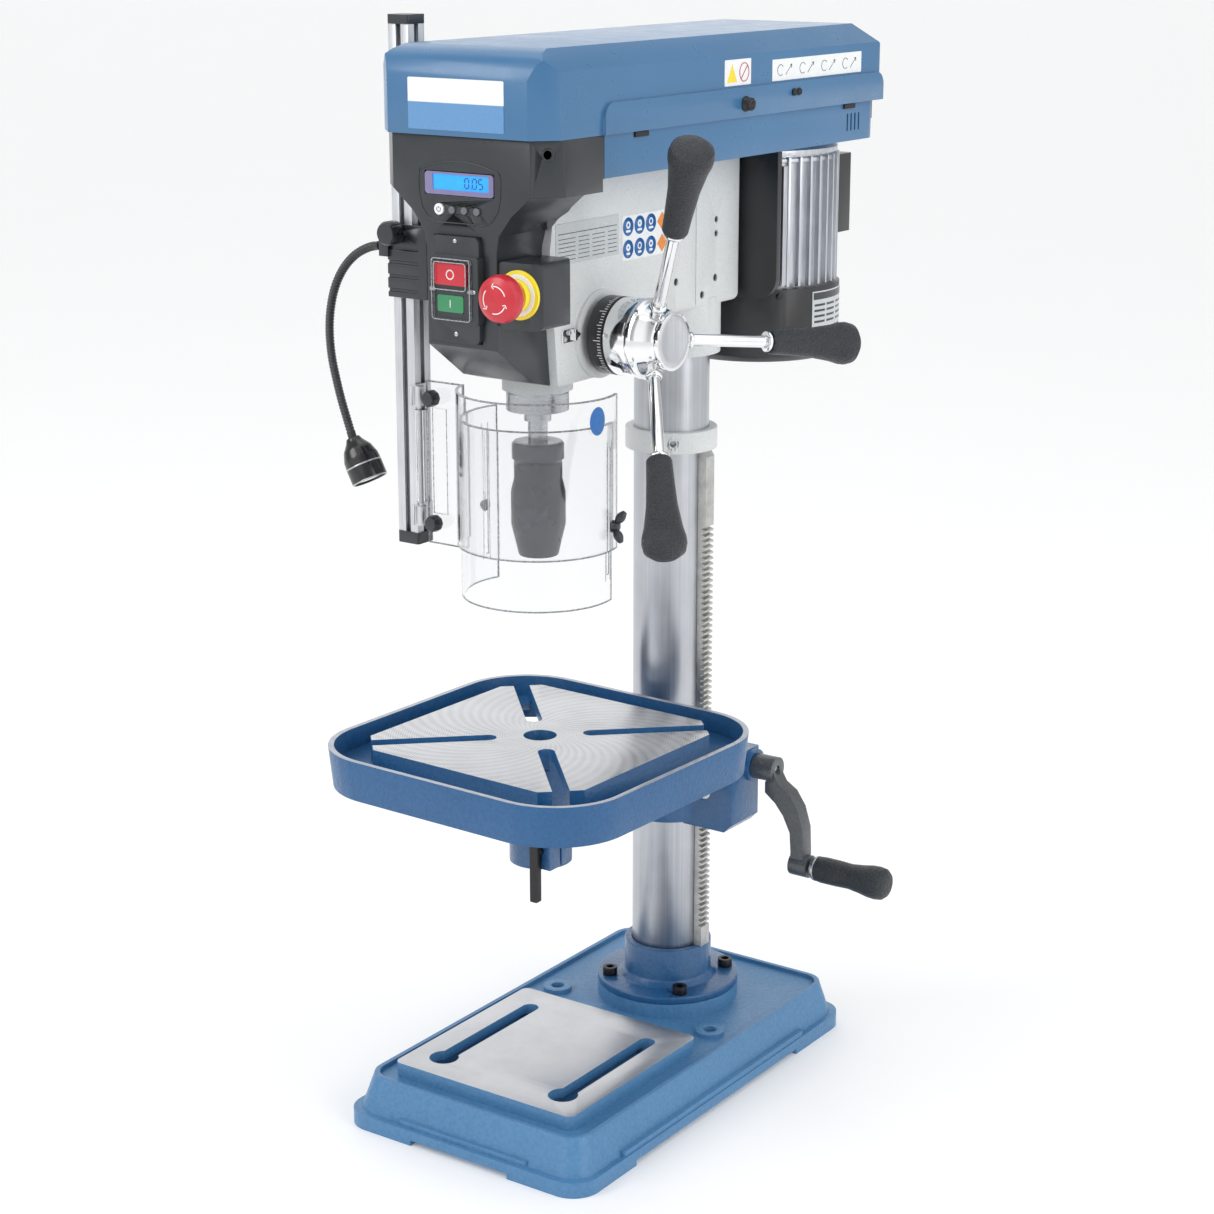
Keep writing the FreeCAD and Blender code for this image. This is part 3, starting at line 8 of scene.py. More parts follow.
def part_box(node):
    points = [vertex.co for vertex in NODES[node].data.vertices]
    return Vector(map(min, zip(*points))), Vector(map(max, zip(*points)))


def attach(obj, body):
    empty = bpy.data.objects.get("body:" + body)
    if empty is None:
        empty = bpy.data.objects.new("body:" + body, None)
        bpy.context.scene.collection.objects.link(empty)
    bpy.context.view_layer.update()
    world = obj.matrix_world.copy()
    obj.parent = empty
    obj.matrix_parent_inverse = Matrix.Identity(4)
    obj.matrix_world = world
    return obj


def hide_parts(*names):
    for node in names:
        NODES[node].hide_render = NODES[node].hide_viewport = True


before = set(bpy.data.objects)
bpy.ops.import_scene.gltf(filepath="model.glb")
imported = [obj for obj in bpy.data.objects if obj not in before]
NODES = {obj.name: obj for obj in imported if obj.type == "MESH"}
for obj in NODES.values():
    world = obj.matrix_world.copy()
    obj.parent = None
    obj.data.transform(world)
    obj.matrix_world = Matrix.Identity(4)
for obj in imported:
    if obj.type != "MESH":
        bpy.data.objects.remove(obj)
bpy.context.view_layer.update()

MM = 0.001


# ---- places, all read from the frame ----
def centre(node):
    """Middle of a CAD node's box."""
    low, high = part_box(node)
    return (low + high) / 2


COLUMN = centre("column")
SPINDLE = centre("chuck_sleeve")
HUB = centre("depth_ring")
LID_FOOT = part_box("belt_lid")[0].z
MOTOR = centre("fan_cover")
PLATE_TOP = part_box("base")[1].z
TABLE_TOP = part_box("table")[1].z
SPINDLE_Y = (SPINDLE.y - COLUMN.y) / MM

# flat faces that carry pieces, in mm from the column's axis
PANEL = -357.0                  # front of the control housing
HEAD_FACE = 50.02               # right side of the head casting
LID_FACE = 103.02               # right side of the lid
LID_SCREW_FACE = 106.5          # right side of the lid's rim
LID_FRONT = -362.02             # front of the lid
CLIP_FACE = -264.05             # front of the shield's flat strip


# ---- material building ----
class Maker:
    """A material's node tree, with short calls for the nodes that repeat."""

    def __init__(self, name):
        self.material = bpy.data.materials.new(name)
        self.material.use_nodes = True
        self.tree = self.material.node_tree
        self.shader = self.tree.nodes["Principled BSDF"]
        self.place = self.tree.nodes.new("ShaderNodeTexCoord").outputs["Object"]

    def node(self, kind, inputs, **settings):
        node = self.tree.nodes.new(kind)
        for key, value in settings.items():
            setattr(node, key, value)
        for key, value in inputs.items():
            if isinstance(value, bpy.types.NodeSocket):
                self.tree.links.new(value, node.inputs[key])
            else:
                node.inputs[key].default_value = value
        return node

    def math(self, operation, a, b=0.0, c=0.0):
        return self.node("ShaderNodeMath", {0: a, 1: b, 2: c}, operation=operation).outputs[0]

    def wave(self, a, share_a, b, share_b):
        """Sine of a weighted sum."""
        total = self.math("ADD", self.math("MULTIPLY", a, share_a), self.math("MULTIPLY", b, share_b))
        return self.math("SINE", total)

    def stretched(self, scale):
        return self.node("ShaderNodeMapping", {"Vector": self.place, "Scale": scale}).outputs[0]

    def noise(self, scale, detail=3.0, rough=0.55, place=None):
        inputs = {"Vector": place or self.place, "Scale": scale, "Detail": detail, "Roughness": rough}
        return self.node("ShaderNodeTexNoise", inputs).outputs["Fac"]

    def remap(self, value, low, high, to_low=0.0, to_high=1.0):
        inputs = {"Value": value, "From Min": low, "From Max": high, "To Min": to_low, "To Max": to_high}
        return self.node("ShaderNodeMapRange", inputs).outputs[0]

    def blend(self, amount, a, b):
        def colour(value):
            if isinstance(value, bpy.types.NodeSocket) or len(value) == 4:
                return value
            return (*value, 1.0)
        node = self.node("ShaderNodeMix", {}, data_type="RGBA")
        sockets = (node.inputs[0], node.inputs[6], node.inputs[7])
        for socket, value in zip(sockets, (amount, colour(a), colour(b))):
            if isinstance(value, bpy.types.NodeSocket):
                self.tree.links.new(value, socket)
            else:
                socket.default_value = value
        return node.outputs[2]

    def mix(self, amount, a, b):
        inputs = {0: amount, 2: a, 3: b}
        return self.node("ShaderNodeMix", inputs, data_type="FLOAT").outputs[0]

    def bump(self, height, depth):
        return self.node("ShaderNodeBump", {"Height": height, "Distance": depth, "Strength": 1.0}).outputs[0]

    def parts(self, socket=None):
        return self.node("ShaderNodeSeparateXYZ", {0: socket or self.place}).outputs

    def facing_up(self):
        normal = self.tree.nodes.new("ShaderNodeTexCoord").outputs["Normal"]
        return self.parts(normal)[2]

    def set(self, **values):
        for key, value in values.items():
            socket = self.shader.inputs[key.replace("_", " ")]
            if isinstance(value, bpy.types.NodeSocket):
                self.tree.links.new(value, socket)
            elif socket.type == "RGBA" and len(value) == 3:
                socket.default_value = (*value, 1.0)
            else:
                socket.default_value = value
        return self.material


def srgb(r, g, b):
    """Linear colour from 0-255 screen values."""
    def channel(value):
        value /= 255.0
        return value / 12.92 if value <= 0.04045 else ((value + 0.055) / 1.055) ** 2.4
    return (channel(r), channel(g), channel(b))


def scaled(colour, share, extra=0.0):
    """A colour times a share, no channel past full."""
    return tuple(min(1, channel * share + extra) for channel in colour)


BLUE = srgb(64, 115, 158)
BLUE_DEEP = srgb(46, 95, 138)
CAST_BLUE = srgb(80, 131, 174)
CAST_DEEP = srgb(56, 106, 150)
# CAST_SHADE and CAST_SHADE_DEEP are the blue casting paint darkened as painted shade, for the table, its
# bracket and the column flange; the base keeps the lit CAST_BLUE.
CAST_SHADE = srgb(36, 92, 140)
CAST_SHADE_DEEP = srgb(20, 68, 116)
GREY_CAST = srgb(217, 220, 220)
STEEL = (0.50, 0.51, 0.53)
BLACK = (0.020, 0.024, 0.029)


def cast_layers(m, colour, deep, coarse, depth):
    """Colour, roughness and bump of paint over a rough casting."""
    lumps = m.noise(coarse, 4.0, 0.6)
    pits = m.noise(coarse * 3.4, 2.0, 0.5)
    patches = m.noise(9.0, 3.0)
    base = m.blend(m.remap(lumps, 0.3, 0.6, 0.45, 1.0), deep, colour)
    base = m.blend(m.remap(patches, 0.35, 0.75, 0.0, 0.22), base, scaled(colour, 1.25))
    rough = m.remap(m.noise(coarse * 1.3, 2.0), 0.3, 0.7, 0.28, 0.42)
    height = m.math("ADD", lumps, m.math("MULTIPLY", pits, 0.35))
    return base, rough, m.bump(height, depth)


def cast_paint(name, colour=CAST_BLUE, deep=CAST_DEEP, coarse=240.0, depth=0.0006):
    m = Maker(name)
    base, rough, normal = cast_layers(m, colour, deep, coarse, depth)
    return m.set(Base_Color=base, Roughness=rough, Normal=normal, Coat_Weight=0.4, Coat_Roughness=0.16)


def sheet_paint(name, colour=BLUE, deep=BLUE_DEEP):
    m = Maker(name)
    peel = m.noise(620.0, 2.0, 0.5)
    drift = m.noise(6.0, 2.0)
    base = m.blend(m.remap(drift, 0.3, 0.7, 0.0, 0.35), colour, deep)
    rough = m.remap(m.noise(40.0, 3.0), 0.3, 0.7, 0.26, 0.36)
    return m.set(Base_Color=base, Roughness=rough, Normal=m.bump(peel, 0.00008), Coat_Weight=0.25,
                 Coat_Roughness=0.14)


def speckled_cast(name):
    """Light grey structured paint with fine darker specks."""
    m = Maker(name)
    lumps = m.noise(330.0, 4.0, 0.65)
    specks = m.remap(m.noise(1150.0, 2.0, 0.7), 0.56, 0.68)
    pale = m.remap(m.noise(800.0, 2.0, 0.6), 0.58, 0.7)
    base = m.blend(m.math("MULTIPLY", specks, 0.45), GREY_CAST, srgb(132, 138, 142))
    base = m.blend(m.math("MULTIPLY", pale, 0.5), base, srgb(236, 238, 238))
    rough = m.remap(lumps, 0.3, 0.7, 0.42, 0.6)
    return m.set(Base_Color=base, Roughness=rough, Normal=m.bump(lumps, 0.0005), Coat_Weight=0.15,
                 Coat_Roughness=0.25)


def ground_steel(name, stretch, colour=STEEL, low=0.2, high=0.36, depth=0.00002):
    """Ground or brushed metal; the grain runs where the stretch is small, and on the column these upright
    streaks are painted sheen.
    """
    m = Maker(name)
    lines = m.noise(1.0, 5.0, 0.7, m.stretched(stretch))
    cloud = m.noise(14.0, 3.0, 0.6)
    tone = m.math("ADD", m.math("MULTIPLY", lines, 0.6), m.math("MULTIPLY", cloud, 0.4))
    base = m.blend(m.remap(tone, 0.35, 0.65), scaled(colour, 0.82), scaled(colour, 1.16))
    return m.set(Base_Color=base, Metallic=1.0, Roughness=m.remap(tone, 0.3, 0.7, low, high),
                 Normal=m.bump(lines, depth))


def chrome(name):
    m = Maker(name)
    smudge = m.noise(55.0, 4.0, 0.6)
    rough = m.remap(smudge, 0.4, 0.75, 0.07, 0.15)
    return m.set(Base_Color=m.blend(smudge, (0.80, 0.81, 0.82), (0.9, 0.9, 0.9)), Metallic=1.0,
                 Roughness=rough, Normal=m.bump(m.noise(900.0, 2.0), 0.000001))


def moulded(name, colour, grain=1500.0, depth=0.00006, low=0.32, high=0.46):
    """Moulded plastic with a fine spark-eroded grain."""
    m = Maker(name)
    fine = m.noise(grain, 3.0, 0.6)
    cloud = m.noise(18.0, 3.0)
    base = m.blend(m.remap(cloud, 0.3, 0.75, 0.0, 0.5), colour, scaled(colour, 1.5, 0.004))
    return m.set(Base_Color=base, Roughness=m.remap(cloud, 0.3, 0.7, low, high), Normal=m.bump(fine, depth),
                 Coat_Weight=0.2, Coat_Roughness=0.2)


def rubber(name, colour=BLACK):
    """Soft-touch grip with a leathery grain."""
    m = Maker(name)
    cells = m.node("ShaderNodeTexVoronoi", {"Vector": m.place, "Scale": 480.0}).outputs["Distance"]
    fine = m.noise(1700.0, 2.0)
    height = m.math("ADD", cells, m.math("MULTIPLY", fine, 0.5))
    base = m.blend(m.remap(cells, 0.1, 0.7), scaled(colour, 0.5), scaled(colour, 1.2, 0.002))
    return m.set(Base_Color=base, Roughness=m.remap(fine, 0.3, 0.7, 0.32, 0.5), Normal=m.bump(height, 0.0009))


def clear_plastic(name):
    m = Maker(name)
    haze = m.noise(30.0, 4.0, 0.65)
    scratch = m.noise(1.0, 4.0, 0.7, m.stretched((180.0, 180.0, 12.0)))
    return m.set(Base_Color=(0.945, 0.952, 0.96), Transmission_Weight=1.0, IOR=1.46,
                 Roughness=m.remap(haze, 0.35, 0.8, 0.01, 0.06), Normal=m.bump(scratch, 0.00001),
                 Specular_IOR_Level=0.35)


def clear_edge_reflection(name):
    """Grey translucent edge of clear plastic: the edge is real, its grey tone is a painted edge reflection.
    """
    m = Maker(name)
    haze = m.noise(300.0, 3.0)
    return m.set(Base_Color=m.blend(haze, (0.52, 0.56, 0.59), (0.70, 0.73, 0.75)), Transmission_Weight=0.45,
                 IOR=1.46, Roughness=m.remap(haze, 0.3, 0.7, 0.2, 0.36))


def glowing(name, colour, strength):
    m = Maker(name)
    drift = m.noise(90.0, 2.0)
    shade = m.blend(m.remap(drift, 0.3, 0.7, 0.0, 0.3), colour, scaled(colour, 0.7))
    return m.set(Base_Color=shade, Roughness=0.25, Emission_Color=shade, Emission_Strength=strength)


def printed(name, colour, second=None, split=None):
    """A printed label: one colour, or two split at a height."""
    m = Maker(name)
    base = m.blend(m.remap(m.noise(35.0, 3.0), 0.3, 0.8, 0.0, 0.12), colour, scaled(colour, 0.7))
    if second:
        base = m.blend(m.remap(m.parts()[2], split - 0.0004, split + 0.0004), second, base)
    return m.set(Base_Color=base, Roughness=m.remap(m.noise(60.0, 2.0), 0.3, 0.7, 0.22, 0.32),
                 Normal=m.bump(m.noise(700.0, 2.0), 0.00002))


def milled_over_paint(name, top_z, rear_y, swirl, coarse, colour=CAST_BLUE, deep=CAST_DEEP):
    """Painted casting whose upward faces at top_z and in front of rear_y are milled bright."""
    m = Maker(name)
    paint, paint_rough, paint_normal = cast_layers(m, colour, deep, coarse, 0.0006)
    x, y, z = m.parts()[0], m.parts()[1], m.parts()[2]
    up = m.remap(m.facing_up(), 0.85, 0.95)
    high = m.remap(z, top_z - 0.0012, top_z - 0.0008)
    near = m.remap(y, rear_y, rear_y + 0.0003, 1.0, 0.0)
    mask = m.math("MULTIPLY", m.math("MULTIPLY", up, high), near)
    dx = m.math("SUBTRACT", x, SPINDLE.x)
    dy = m.math("SUBTRACT", y, SPINDLE.y)
    radius = m.math("SQRT", m.math("ADD", m.math("MULTIPLY", dx, dx), m.math("MULTIPLY", dy, dy)))
    angle = m.math("ARCTAN2", dy, dx)
    if swirl:
        rings = m.wave(radius, 2600.0, angle, 3.0)
        arcs = m.wave(radius, 420.0, angle, 46.0)
        lines = m.math("ADD", m.math("MULTIPLY", rings, 0.6), m.math("MULTIPLY", arcs, 0.4))
    else:
        lines = m.wave(y, 3600.0, m.noise(8.0), 9.0)
    unit = m.remap(lines, -1.0, 1.0)
    cloud = m.noise(13.0, 4.0, 0.6)
    tone = m.math("ADD", m.math("MULTIPLY", unit, 0.45), m.math("MULTIPLY", cloud, 0.55))
    metal = m.blend(m.remap(tone, 0.2, 0.75), (0.40, 0.405, 0.42), (0.70, 0.705, 0.72))
    metal_rough = m.remap(tone, 0.2, 0.8, 0.24, 0.42)
    metal_normal = m.bump(unit, 0.00006)
    normal = m.node("ShaderNodeMix", {0: mask, 4: paint_normal, 5: metal_normal},
                    data_type="VECTOR").outputs[1]
    return m.set(Base_Color=m.blend(mask, paint, metal), Metallic=mask, Normal=normal,
                 Roughness=m.mix(mask, paint_rough, metal_rough))


def knurled(name, colour):
    """Dark steel with fine upright flutes round the spindle axis."""
    m = Maker(name)
    x, y = m.parts()[0], m.parts()[1]
    angle = m.math("ARCTAN2", m.math("SUBTRACT", y, SPINDLE.y), m.math("SUBTRACT", x, SPINDLE.x))
    flutes = m.math("SINE", m.math("MULTIPLY", angle, 84.0))
    cloud = m.noise(40.0, 3.0)
    tone = m.remap(m.math("ADD", m.math("MULTIPLY", flutes, 0.3), cloud), 0.2, 0.9)
    base = m.blend(tone, scaled(colour, 0.6), scaled(colour, 1.35))
    return m.set(Base_Color=base, Metallic=1.0, Roughness=m.remap(cloud, 0.3, 0.7, 0.2, 0.32),
                 Normal=m.bump(flutes, 0.00007))


def rack_steel(name):
    """Pale phosphated rack steel."""
    m = Maker(name)
    cloud = m.noise(90.0, 4.0, 0.6)
    base = m.blend(m.remap(cloud, 0.3, 0.7), (0.42, 0.42, 0.41), (0.66, 0.65, 0.63))
    return m.set(Base_Color=base, Metallic=0.9, Roughness=m.remap(cloud, 0.3, 0.7, 0.3, 0.5),
                 Normal=m.bump(m.noise(900.0), 0.00004))


EVERYWHERE = 10.0               # a limit in metres that is past the whole part

MATS = {
    # the table, its bracket and the column flange take CAST_SHADE: the blue paint darkened as painted shade
    "cast_blue_painted_shade": cast_paint("cast_blue_painted_shade", CAST_SHADE, CAST_SHADE_DEEP),
    "sheet_blue": sheet_paint("sheet_blue"),
    "table": milled_over_paint("table_iron", TABLE_TOP, EVERYWHERE, True, 260.0, CAST_SHADE, CAST_SHADE_DEEP),
    "base": milled_over_paint("base_iron", PLATE_TOP, COLUMN.y - 115 * MM, False, 240.0),
    "head_grey": speckled_cast("head_grey"),
    # on the column the upright streaks of lighter and darker colour are painted sheen, copying upright
    # reflection bands; a turned column's grain runs round it
    "column": ground_steel("column_steel", (420.0, 420.0, 3.0), (0.50, 0.515, 0.545), 0.26, 0.38, 0.00001),
    "rack": rack_steel("rack_steel"),
    "steel": ground_steel("bright_steel", (40.0, 40.0, 1600.0)),
    "chrome": chrome("chrome"),
    "chuck": ground_steel("chuck_steel", (30.0, 30.0, 2200.0), (0.048, 0.057, 0.072), 0.16, 0.26),
    "chuck_grip": knurled("chuck_grip", (0.032, 0.039, 0.052)),
    "alloy": ground_steel("alloy", (900.0, 900.0, 8.0), (0.62, 0.635, 0.66), 0.36, 0.48),
    "fins": ground_steel("fin_alloy", (300.0, 300.0, 20.0), (0.58, 0.60, 0.635), 0.28, 0.4),
    "pulley": ground_steel("pulley_alloy", (60.0, 60.0, 1200.0), (0.7, 0.7, 0.71), 0.26, 0.4),
    "black": moulded("black_plastic", BLACK, 1500.0, 0.00006, 0.26, 0.38),
    "black_paint": moulded("black_paint", (0.014, 0.0145, 0.016), 420.0, 0.00012, 0.3, 0.44),
    "oxide": ground_steel("black_oxide", (300.0, 300.0, 300.0), (0.05, 0.05, 0.052), 0.3, 0.45),
    "rubber": rubber("grip_rubber"),
    "gooseneck": moulded("gooseneck_black", (0.022, 0.024, 0.027), 900.0, 0.00003, 0.16, 0.26),
    "hammered": cast_paint("crank_iron", srgb(76, 80, 84), srgb(46, 49, 53), 420.0, 0.0005),
    "gloss_black": moulded("gloss_black", (0.012, 0.012, 0.013), 300.0, 0.00002, 0.12, 0.2),
    "clear": clear_plastic("clear_plastic"),
    "clear_edge_reflection": clear_edge_reflection("clear_edge_reflection"),
    "red": moulded("red_plastic", srgb(184, 30, 46), 900.0, 0.00003, 0.24, 0.34),
    "green": moulded("green_plastic", srgb(48, 128, 84), 900.0, 0.00003, 0.24, 0.34),
    "yellow": moulded("yellow_plastic", srgb(246, 214, 40), 900.0, 0.00003, 0.26, 0.36),
    "white": moulded("white_plastic", srgb(232, 232, 228), 900.0, 0.00003, 0.28, 0.38),
    "grey": moulded("grey_plastic", srgb(96, 100, 106), 900.0, 0.00004, 0.36, 0.46),
    "lens": glowing("lamp_lens", (0.86, 0.87, 0.85), 0.25),
    "screen": glowing("screen_blue", srgb(40, 150, 236), 0.55),
    "digits": moulded("digit_blue", srgb(22, 70, 130), 900.0, 0.00001, 0.3, 0.4),
    "bezel": moulded("bezel_grey", srgb(120, 112, 150), 900.0, 0.00003, 0.2, 0.3),
    "front_label": printed("front_label", srgb(240, 242, 244), srgb(100, 148, 196), LID_FOOT + 30 * MM),
    "white_label": printed("white_label", srgb(238, 240, 240)),
    "grey_label": printed("grey_label", srgb(196, 200, 202)),
    "orange_print": printed("orange_print", srgb(232, 140, 50)),
    "blue_print": printed("blue_print", srgb(38, 108, 178)),
    "dark_print": printed("dark_print", srgb(60, 62, 66)),
    "belt": rubber("belt_rubber", (0.022, 0.022, 0.022)),
}

NODE_MATERIALS = {
    "cast_blue_painted_shade": ("table_bracket", "column_flange"),
    "sheet_blue": ("belt_pan", "belt_lid"),
    "table": ("table",),
    "base": ("base",),
    "head_grey": ("head_casting", "column_ring"),
    "fins": ("motor_body",),
    "column": ("column",),
    "rack": ("rack",),
    "steel": ("spindle", "quill", "quill_bearings", "worm_shaft", "worm_wheel", "feed_shaft", "idler_post",
              "motor_rotor"),
    "chrome": ("feed_hub", "feed_rods"),
    "chuck_grip": ("chuck_sleeve",),
    "chuck": ("chuck_body", "chuck_jaw_1", "chuck_jaw_2", "chuck_jaw_3"),
    "oxide": ("flange_screws", "table_lever", "lid_hinges"),
    "black_paint": ("motor_plate", "fan_cover", "depth_ring", "terminal_box", "spring_housing"),
    "black": ("control_housing", "switch_plate", "estop_box", "guard_bracket", "bracket_knob"),
    "rubber": ("crank_grip", "feed_grips"),
    "belt": ("belts",),
    "gooseneck": ("lamp_arm",),
    "gloss_black": ("lamp_head",),
    "hammered": ("crank_arm",),
    "pulley": ("spindle_pulley", "idler_pulley", "motor_pulley"),
    "alloy": ("guard_post", "guard_clips"),
    "clear": ("upper_guard", "lower_guard"),
    "red": ("red_button", "estop_button"),
    "green": ("green_button",),
    "yellow": ("estop_collar",),
    "white": ("power_button",),
    "grey": ("display_button_1", "display_button_2", "display_button_3"),
}

# width in mm of the rounded edges that the bevel modifier gives a node
EDGE_ROUNDING = {
    "base": 2.2, "table": 1.6, "table_bracket": 2.2, "column_flange": 1.4, "head_casting": 2.0,
    "belt_pan": 0.6, "belt_lid": 1.4, "control_housing": 1.8, "switch_plate": 0.8, "estop_box": 1.4,
    "crank_arm": 1.6, "guard_bracket": 1.2, "motor_plate": 1.0, "fan_cover": 0.8, "terminal_box": 1.2,
    "spring_housing": 1.0, "column_ring": 1.2, "red_button": 0.7, "green_button": 0.7, "depth_ring": 0.4,
    "feed_hub": 0.5,
}
DEFAULT_ROUNDING = 0.35
TOP_CAP, FOOT_CAP = 9.05, 12.05     # heights in mm of the plastic caps at the post's ends
NO_ROUNDING = ("rack", "worm_wheel", "worm_shaft", "upper_guard", "lower_guard", "lamp_arm", "feed_shaft",
               "quill")


def finish_cad_nodes():
    """Materials, rounded edges and smooth shading for every CAD node."""
    for key, names in NODE_MATERIALS.items():
        for name in names:
            obj = NODES[name]
            obj.data.materials.clear()
            obj.data.materials.append(MATS[key])
            if name not in NO_ROUNDING:
                weld = obj.modifiers.new("joined_faces", "WELD")
                weld.merge_threshold = 0.01 * MM
                rounding = obj.modifiers.new("rounded_edges", "BEVEL")
                rounding.width = EDGE_ROUNDING.get(name, DEFAULT_ROUNDING) * MM
                rounding.segments = 3
                rounding.limit_method = "ANGLE"
                rounding.angle_limit = math.radians(34)
                rounding.harden_normals = True
                rounding.use_clamp_overlap = True
            for polygon in obj.data.polygons:
                polygon.use_smooth = True
    post = NODES["guard_post"].data
    post.materials.append(MATS["black"])
    low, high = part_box("guard_post")
    for polygon in post.polygons:
        if polygon.center.z > high.z - TOP_CAP * MM or polygon.center.z < low.z + FOOT_CAP * MM:
            polygon.material_index = 1


# ---- mesh building ----
def new_object(name, bm, material, body, smooth=True):
    """A mesh object from a bmesh, riding on a body."""
    bmesh.ops.recalc_face_normals(bm, faces=bm.faces)
    mesh = bpy.data.meshes.new(name)
    bm.to_mesh(mesh)
    bm.free()
    obj = bpy.data.objects.new(name, mesh)
    bpy.context.scene.collection.objects.link(obj)
    mesh.materials.append(MATS[material])
    if smooth:
        for polygon in mesh.polygons:
            polygon.use_smooth = True
    if body:
        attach(obj, body)
    return obj


def rounded(obj, width, segments=3, angle=30):
    """Round the sharp edges of a piece."""
    modifier = obj.modifiers.new("rounded_edges", "BEVEL")
    modifier.width = width * MM
    modifier.segments = segments
    modifier.limit_method = "ANGLE"
    modifier.angle_limit = math.radians(angle)
    modifier.harden_normals = True
    return obj


def at(x, y, z):
    """A point given in mm from the column's axis and the floor."""
    return Vector((COLUMN.x + x * MM, COLUMN.y + y * MM, z * MM))


def frame_to(axis):
    """Rotation that takes +Z to an axis."""
    return Vector((0, 0, 1)).rotation_difference(Vector(axis).normalized()).to_matrix().to_4x4()


def add_lathe(bm, profile, base, axis=(0, 0, 1), steps=64):
    """Spin a (radius, height) outline in mm round an axis through base."""
    place = Matrix.Translation(base) @ frame_to(axis)
    rings = []
    for radius, height in profile:
        if radius < 1e-6:
            rings.append([bm.verts.new(place @ Vector((0, 0, height * MM)))])
            continue
        ring = []
        for step in range(steps):
            angle = 2 * math.pi * step / steps
            point = Vector((radius * math.cos(angle), radius * math.sin(angle), height)) * MM
            ring.append(bm.verts.new(place @ point))
        rings.append(ring)
    for low, high in zip(rings, rings[1:]):
        for step in range(steps):
            after = (step + 1) % steps
            if len(low) == 1 and len(high) == 1:
                continue
            if len(low) == 1:
                bm.faces.new((low[0], high[step], high[after]))
            elif len(high) == 1:
                bm.faces.new((low[step], low[after], high[0]))
            else:
                bm.faces.new((low[step], low[after], high[after], high[step]))


def add_prism(bm, points, low, high, axis="y"):
    """Push a closed 2-D outline (mm) along an axis between two levels (mm)."""
    def place(a, b, level):
        if axis == "x":
            return at(level, a, b)
        if axis == "y":
            return at(a, level, b)
        return at(a, b, level)
    bottom = [bm.verts.new(place(a, b, low)) for a, b in points]
    top = [bm.verts.new(place(a, b, high)) for a, b in points]
    bm.faces.new(bottom)
    bm.faces.new(top)
    for index in range(len(points)):
        after = (index + 1) % len(points)
        bm.faces.new((bottom[index], bottom[after], top[after], top[index]))


def rounded_rectangle(x0, x1, z0, z1, radius, steps=6):
    """Outline of a rectangle with round corners."""
    points = []
    for cx, cz, start in ((x1 - radius, z1 - radius, 0), (x0 + radius, z1 - radius, 90),
                          (x0 + radius, z0 + radius, 180), (x1 - radius, z0 + radius, 270)):
        for step in range(steps + 1):
            angle = math.radians(start + 90 * step / steps)
            points.append((cx + radius * math.cos(angle), cz + radius * math.sin(angle)))
    return points


def add_frame(bm, outer, inner, low, high):
    """A flat frame facing the operator, between two outlines with the same number of points."""
    loops = [[bm.verts.new(at(a, level, b)) for a, b in points]
             for points in (outer, inner) for level in (low, high)]
    outer_low, outer_high, inner_low, inner_high = loops
    for index in range(len(outer)):
        after = (index + 1) % len(outer)
        for one, two in ((outer_low, outer_high), (outer_high, inner_high), (inner_high, inner_low),
                         (inner_low, outer_low)):
            bm.faces.new((one[index], one[after], two[after], two[index]))


def add_sweep(bm, points, radii, steps=16):
    """A round tube through points (metres) with a radius (metres) at each one, closed at its ends."""
    up = Vector((0.1, 1.0, 0.05)).normalized()
    rings = []
    for index, point in enumerate(points):
        ahead = points[min(index + 1, len(points) - 1)] - points[max(index - 1, 0)]
        ahead.normalize()
        side = ahead.cross(up).normalized()
        top = side.cross(ahead)
        ring = []
        for step in range(steps):
            angle = 2 * math.pi * step / steps
            ring.append(bm.verts.new(point + (side * math.cos(angle) + top * math.sin(angle)) * radii[index]))
        rings.append(ring)
    for low, high in zip(rings, rings[1:]):
        for step in range(steps):
            after = (step + 1) % steps
            bm.faces.new((low[step], low[after], high[after], high[step]))
    bm.faces.new(rings[0])
    bm.faces.new(rings[-1])


def add_line(bm, points, radius=0.5):
    """A bead through points given in mm from the column's axis."""
    path = [at(*point) for point in points]
    add_sweep(bm, path, [radius * MM] * len(path), 10)


def arc_points(x, z, radius, start, end, steps=24):
    """Points (x, z) along an arc, angles in degrees."""
    return [(x + radius * math.cos(math.radians(start + (end - start) * step / steps)),
             z + radius * math.sin(math.radians(start + (end - start) * step / steps)))
            for step in range(steps + 1)]


# ---- control panel ----
FIGURE_WIDE, FIGURE_TALL = 4.6, 9.0
FIGURE_GAP = 2.6
FIGURE_FOOT = 981.7
FIGURE_BARS = {"0": "abcdef", "5": "afgcd"}


